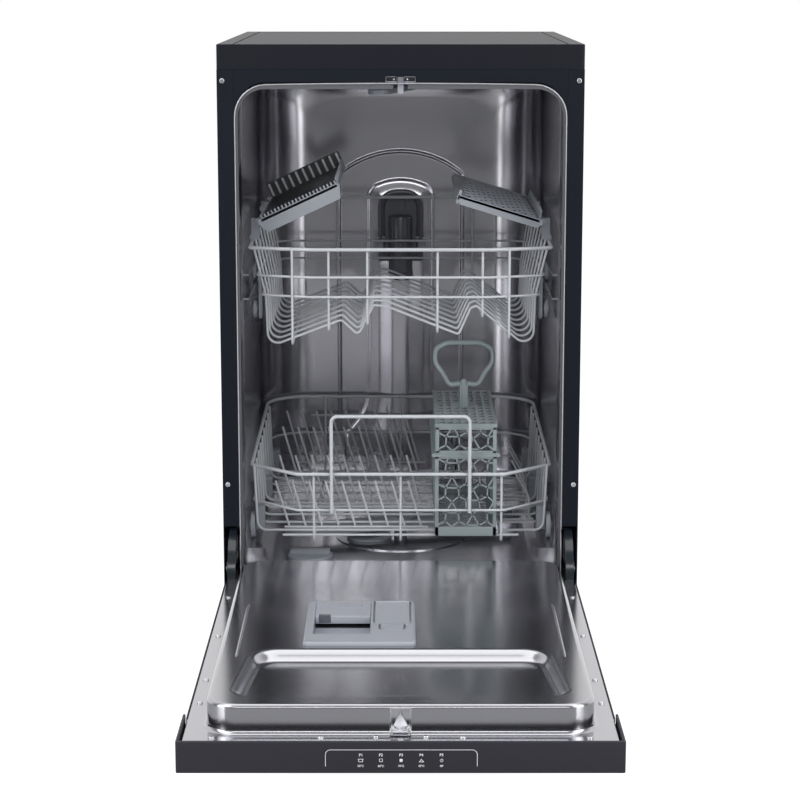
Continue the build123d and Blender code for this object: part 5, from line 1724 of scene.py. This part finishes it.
@dataclass
class CutleryBasket:
    """The cutlery basket: two lattice tiers, a top of wedge-shaped slots and a double-bar handle."""

    x0: float = 42.5
    x1: float = 124.5
    y0: float = 43.5
    y1: float = 276.0
    low: float = 223.9
    rim: float = 328.0
    rim_top: float = 333.0
    grid: float = 366.0
    high: float = 372.0
    band: float = 12.0
    post: float = 4.8
    rib: float = 1.9
    rib_depth: float = 1.7
    wall_half: float = 1.1
    top_band: float = 3.0
    column_pitch: float = 26.8
    unit_height: float = 32.8
    phase: float = 17.0
    least_step: float = 1e-9
    shortest_rib: float = 0.03
    floor_slot: tuple[float, float] = (4.0, 6.5)
    slots_across: int = 7
    slots_along: int = 12

    def lattice(self, length: float, height: float, phase: float) -> tuple[np.ndarray, np.ndarray]:
        """Lays columns of triangle-over-pentagon cells, each half a unit below its neighbour.

        A column at x has an apex A, shoulders B and C under it, and feet D and E, and the next apex
        lies under those. C joins the next column's D, and E joins its B. Each rib is then cut to the
        window by the range of t in which start + t * (end - start) lies inside.

        Args:
            length: The window's length.
            height: Its height.
            phase: How far the first column stands from the window's start.

        Returns:
            The ribs' starts and ends, as rows along the window and up.
        """
        h, p = self.unit_height, self.column_pitch
        a, b, c, d, e = (0.0, 0.0), (-8.0, -14.3), (8.2, -14.5), (-8.5, -25.4), (9.0, -25.8)
        after, right_d, right_b = (0.0, -h), (p + d[0], d[1] + h / 2), (p + b[0], b[1] - h / 2)
        ribs = np.array([(a, b), (a, c), (b, c), (b, d), (c, e), (d, after), (e, after), (c, right_d),
                         (e, right_b)])
        column = np.arange(-1, int(length / p) + 2)
        row = np.arange(-1, int(height / h) + 3)
        place = np.stack(np.meshgrid(column, row, indexing="ij"), axis=-1).reshape(-1, 2)
        shift = np.stack([phase + place[:, 0] * p, place[:, 1] * h + (place[:, 0] % 2) * h / 2], axis=-1)
        every = (ribs[None] + shift[:, None, None]).reshape(-1, 2, 2)
        start, way = every[:, 0], every[:, 1] - every[:, 0]
        way = np.where(np.abs(way) < self.least_step, self.least_step, way)
        limit = np.array([length, height])
        near, far = (0.0 - start) / way, (limit - start) / way
        enter = np.maximum(np.minimum(near, far).max(axis=1), 0.0)
        leave = np.minimum(np.maximum(near, far).min(axis=1), 1.0)
        keep = leave - enter > self.shortest_rib
        start, way, enter, leave = start[keep], way[keep], enter[keep, None], leave[keep, None]
        return start + enter * way, start + leave * way

    def wall(self, axis: Axis, at: float, ends: tuple[float, float], heights: tuple[float, float],
             band: float) -> list[Shape]:
        """Makes one wall of a tier: end posts, top and bottom bands and the lattice between them.

        Args:
            axis: The axis square to the wall, X or Y.
            at: The wall's middle on that axis.
            ends: Where it starts and ends along its length.
            heights: Its foot and its top.
            band: The bottom band's height.

        Returns:
            The wall's parts.
        """
        (u0, u1), (z0, z1) = ends, heights
        inner0, inner1 = u0 + self.post, u1 - self.post

        def put(flat: np.ndarray) -> np.ndarray:
            """Carries points of the window to their place in the basket.

            Args:
                flat: Rows along the window and up it.

            Returns:
                Rows of x, y and z.
            """
            u, z = flat[:, 0] + inner0, flat[:, 1] + z0 + band
            fixed = np.full(len(flat), at)
            return np.column_stack([u, fixed, z] if axis is Axis.Y else [fixed, u, z])

        starts, stops = self.lattice(inner1 - inner0, z1 - z0 - band - self.top_band, self.phase)
        across = (0.0, 1.0, 0.0) if axis is Axis.Y else (1.0, 0.0, 0.0)
        parts = [sticks(put(starts), put(stops), self.rib, across, self.rib_depth)]
        thin = self.wall_half
        bars = [(u0, inner0, z0, z1), (inner1, u1, z0, z1), (u0, u1, z0, z0 + band),
                (u0, u1, z1 - self.top_band, z1)]
        for a, b, low, high in bars:
            if axis is Axis.Y:
                corners = (a, at - thin, low), (b, at + thin, high)
            else:
                corners = (at - thin, a, low), (at + thin, b, high)
            parts.append(slab(*corners, 0.8, 0.35, axis))
        return parts

    def tier(self, inset: float, z0: float, z1: float, band: float) -> list[Shape]:
        """Makes a tier's four walls.

        Args:
            inset: How far the tier stands inside the basket's plan.
            z0: Its foot.
            z1: Its top.
            band: Its bottom band's height.

        Returns:
            All the walls' parts.
        """
        x0, x1, y0, y1 = self.x0 + inset, self.x1 - inset, self.y0 + inset, self.y1 - inset
        half, heights = self.wall_half, (z0, z1)
        parts = []
        for y in (y0 + half, y1 - half):
            parts += self.wall(Axis.Y, y, (x0, x1), heights, band)
        for x in (x0 + half, x1 - half):
            parts += self.wall(Axis.X, x, (y0 + 0.3, y1 - 0.3), heights, band)
        return parts

    def body(self) -> Shape:
        """Makes the lower tier with its slotted floor.

        Returns:
            The lower tier.
        """
        parts = self.tier(1.5, self.low, self.rim, self.band)
        wide, long = self.floor_slot
        holes = [box_loop(x - wide, x + wide, y - long, y + long, 1.2, 1)
                 for x in (56.0, 70.0, 84.0, 98.0, 112.0) for y in np.arange(60.0, 265.0, 18.0)]
        outline = box_loop(self.x0 + 2, self.x1 - 2, self.y0 + 2, self.y1 - 2, 2.0)
        parts.append(plate(outline, holes, self.low + 0.2, self.low + 2.4))
        return joined(parts)

    def top(self) -> Shape:
        """Makes the stepped rim, the upper tier and the plate of wedge-shaped slots.

        Returns:
            The upper tier.
        """
        x0, x1, y0, y1 = self.x0, self.x1, self.y0, self.y1
        parts = []
        hole = box_loop(x0 + 4, x1 - 4, y0 + 4, y1 - 4, 2.5)
        for grow, low, high in ((3.0, self.rim + 0.2, self.rim + 3.4), (1.4, self.rim + 3.2, self.rim_top)):
            past = min(grow, 0.4)
            ring = box_loop(x0 - grow, x1 + grow, y0 - past, y1 + past, 2.5)
            parts.append(plate(ring, [hole], low, high))
        parts += self.tier(2.0, self.rim_top - 0.4, self.grid, self.top_band)
        parts.append(plate(box_loop(x0 + 1.4, x1 - 1.4, y0 + 1.4, y1 - 1.4, 3.0), self.wedge_slots(),
                           self.grid, self.high - 1.5))
        for x in (x0 + 2.6, x1 - 2.6):
            parts.append(slab((x - 1.2, y0 + 1.6, self.grid), (x + 1.2, y1 - 1.6, self.high), 0.8, 0.5))
        return joined(parts)

    def wedge_slots(self) -> list[np.ndarray]:
        """Gives the slots' outlines: rows of triangles, but none where the handle's post stands.

        Returns:
            The slots' closed outlines.
        """
        across = np.linspace(self.x0 + 4.6, self.x1 - 4.6, self.slots_across + 1)
        along = np.linspace(self.y0 + 5.0, self.y1 - 5.0, self.slots_along + 1)
        holes = []
        for row, (front, rear) in enumerate(zip(along, along[1:])):
            for column, (left, right) in enumerate(zip(across, across[1:])):
                if column == 3 and row > 5:
                    continue
                if row in (6, 7) and column in (2, 4):
                    continue
                low, high = front + 3.0, right - 0.9
                corners = np.array([(left + 0.9, low), (high, low), (high, rear - 1.2)])
                holes.append(rounded(corners, 0.8, 2, closed=True))
        return holes

    def handle(self) -> Shape:
        """Makes the handle, whose outline is drawn from its foot up its right side and mirrored.

        Returns:
            Twin bars in a heart-shaped loop, a ball at its foot and a ribbed post.
        """
        x, y = (self.x0 + self.x1) / 2, (self.y0 + self.y1) / 2
        right = [(4.0, 402.0), (19.0, 400.0), (29.0, 418.0), (39.0, 431.0), (37.0, 449.0), (22.0, 456.6)]
        outline = right + [(-u, z) for u, z in right[::-1]]
        points = np.array([(x + u, y, z) for u, z in outline])
        loop = rounded(points, [8.0, 12.0, 20.0, 10.0, 12.0, 12.0, 10.0, 20.0, 12.0, 8.0], 7)
        bars = [tube(loop + (0.0, side * 2.6, 0.0), 3.1, (0.0, 1.0, 0.0), 12) for side in (-1, 1)]
        web = tube(loop, 1.6, (0.0, 1.0, 0.0), 8, 1.5)
        foot = self.high - 2.0
        post = slab((x - 5.4, y - 4.6, foot), (x + 5.4, y + 4.6, 401.0), 1.6, 0.8)
        ribs = [slab((x + k - 1.0, y - 6.0, foot), (x + k + 1.0, y - 4.0, 400.0), 0.5, 0.4)
                for k in (-4.4, 4.4)]
        ball_profile = [(0.8, 399.0), (4.6, 400.5), (5.2, 403.0), (4.2, 406.0), (1.4, 408.0)]
        ball = turned(ball_profile, (x, y, 0.0), Axis.Z, 20)
        return joined([*bars, web, post, *ribs, ball])

    def build(self) -> None:
        """Makes the basket's three parts on the lower basket."""
        make("cutlery_lower_tier", self.body(), CUTLERY_PLASTIC, "lower_basket", ["cutlery_body"])
        make("cutlery_upper_tier", self.top(), CUTLERY_PLASTIC, "lower_basket", ["cutlery_top"])
        make("cutlery_carrying_handle", self.handle(), CUTLERY_PLASTIC, "lower_basket", ["cutlery_handle"])


@dataclass(frozen=True)
class WheelSet:
    """A pair of basket wheels on one axle line, one at each side."""

    node: str
    y: float
    z: float
    radius: float
    inner: float
    outer: float

    def build(self) -> None:
        """Makes both wheels: a rounded tyre, a sunk web on each face and a hub."""
        r, a, b = self.radius, self.inner, self.outer
        face = [(1.0, 0.0), (4.4, 0.0), (4.9, 1.1), (r - 3.0, 1.1), (r - 2.4, 0.1), (r - 1.0, 0.0), (r, 0.9)]
        profile = [(q, a + k) for q, k in face] + [(q, b - k) for q, k in face[::-1]]
        wheel = turned(profile, (0.0, self.y, self.z), Axis.X, 40)
        make(self.node + "_pair", both(wheel), GREY_PLASTIC, self.node, [self.node], crease=30.0)


WHEELS = (
    WheelSet("upper_wheels_front_high", 194.0, 549.0, 13.5, 189.5, 195.5),
    WheelSet("upper_wheels_front_low", 194.0, 498.0, 13.5, 189.5, 195.5),
    WheelSet("upper_wheels_rear_high", 414.0, 549.0, 13.5, 189.5, 195.5),
    WheelSet("upper_wheels_rear_low", 414.0, 498.0, 13.5, 189.5, 195.5),
    WheelSet("lower_wheels_front", 95.0, 226.8, 17.0, 189.3, 195.3),
    WheelSet("lower_wheels_middle", 265.0, 226.8, 17.0, 189.3, 195.3),
    WheelSet("lower_wheels_rear", 438.0, 226.8, 17.0, 189.3, 195.3),
)


# The whole machine


def main() -> None:
    """Builds the scene: the studio first, then the machine from the casing inwards."""
    logging.basicConfig(level=logging.INFO, format="%(name)s: %(message)s")
    Studio().build()
    dress_cad_nodes()
    shelves = (CupShelf(side=Side.LEFT, tilt=25.0, lip=17.0), CupShelf(side=Side.RIGHT, tilt=17.0, lip=9.0))
    pieces = (TubWalls(), FeedDock(), DoorCatch(), DoorLiner(), Striker(), Dispenser(), Fascia(), *shelves,
              CutleryBasket(), *WHEELS)
    for piece in pieces:
        piece.build()


if __name__ == "__main__":
    main()
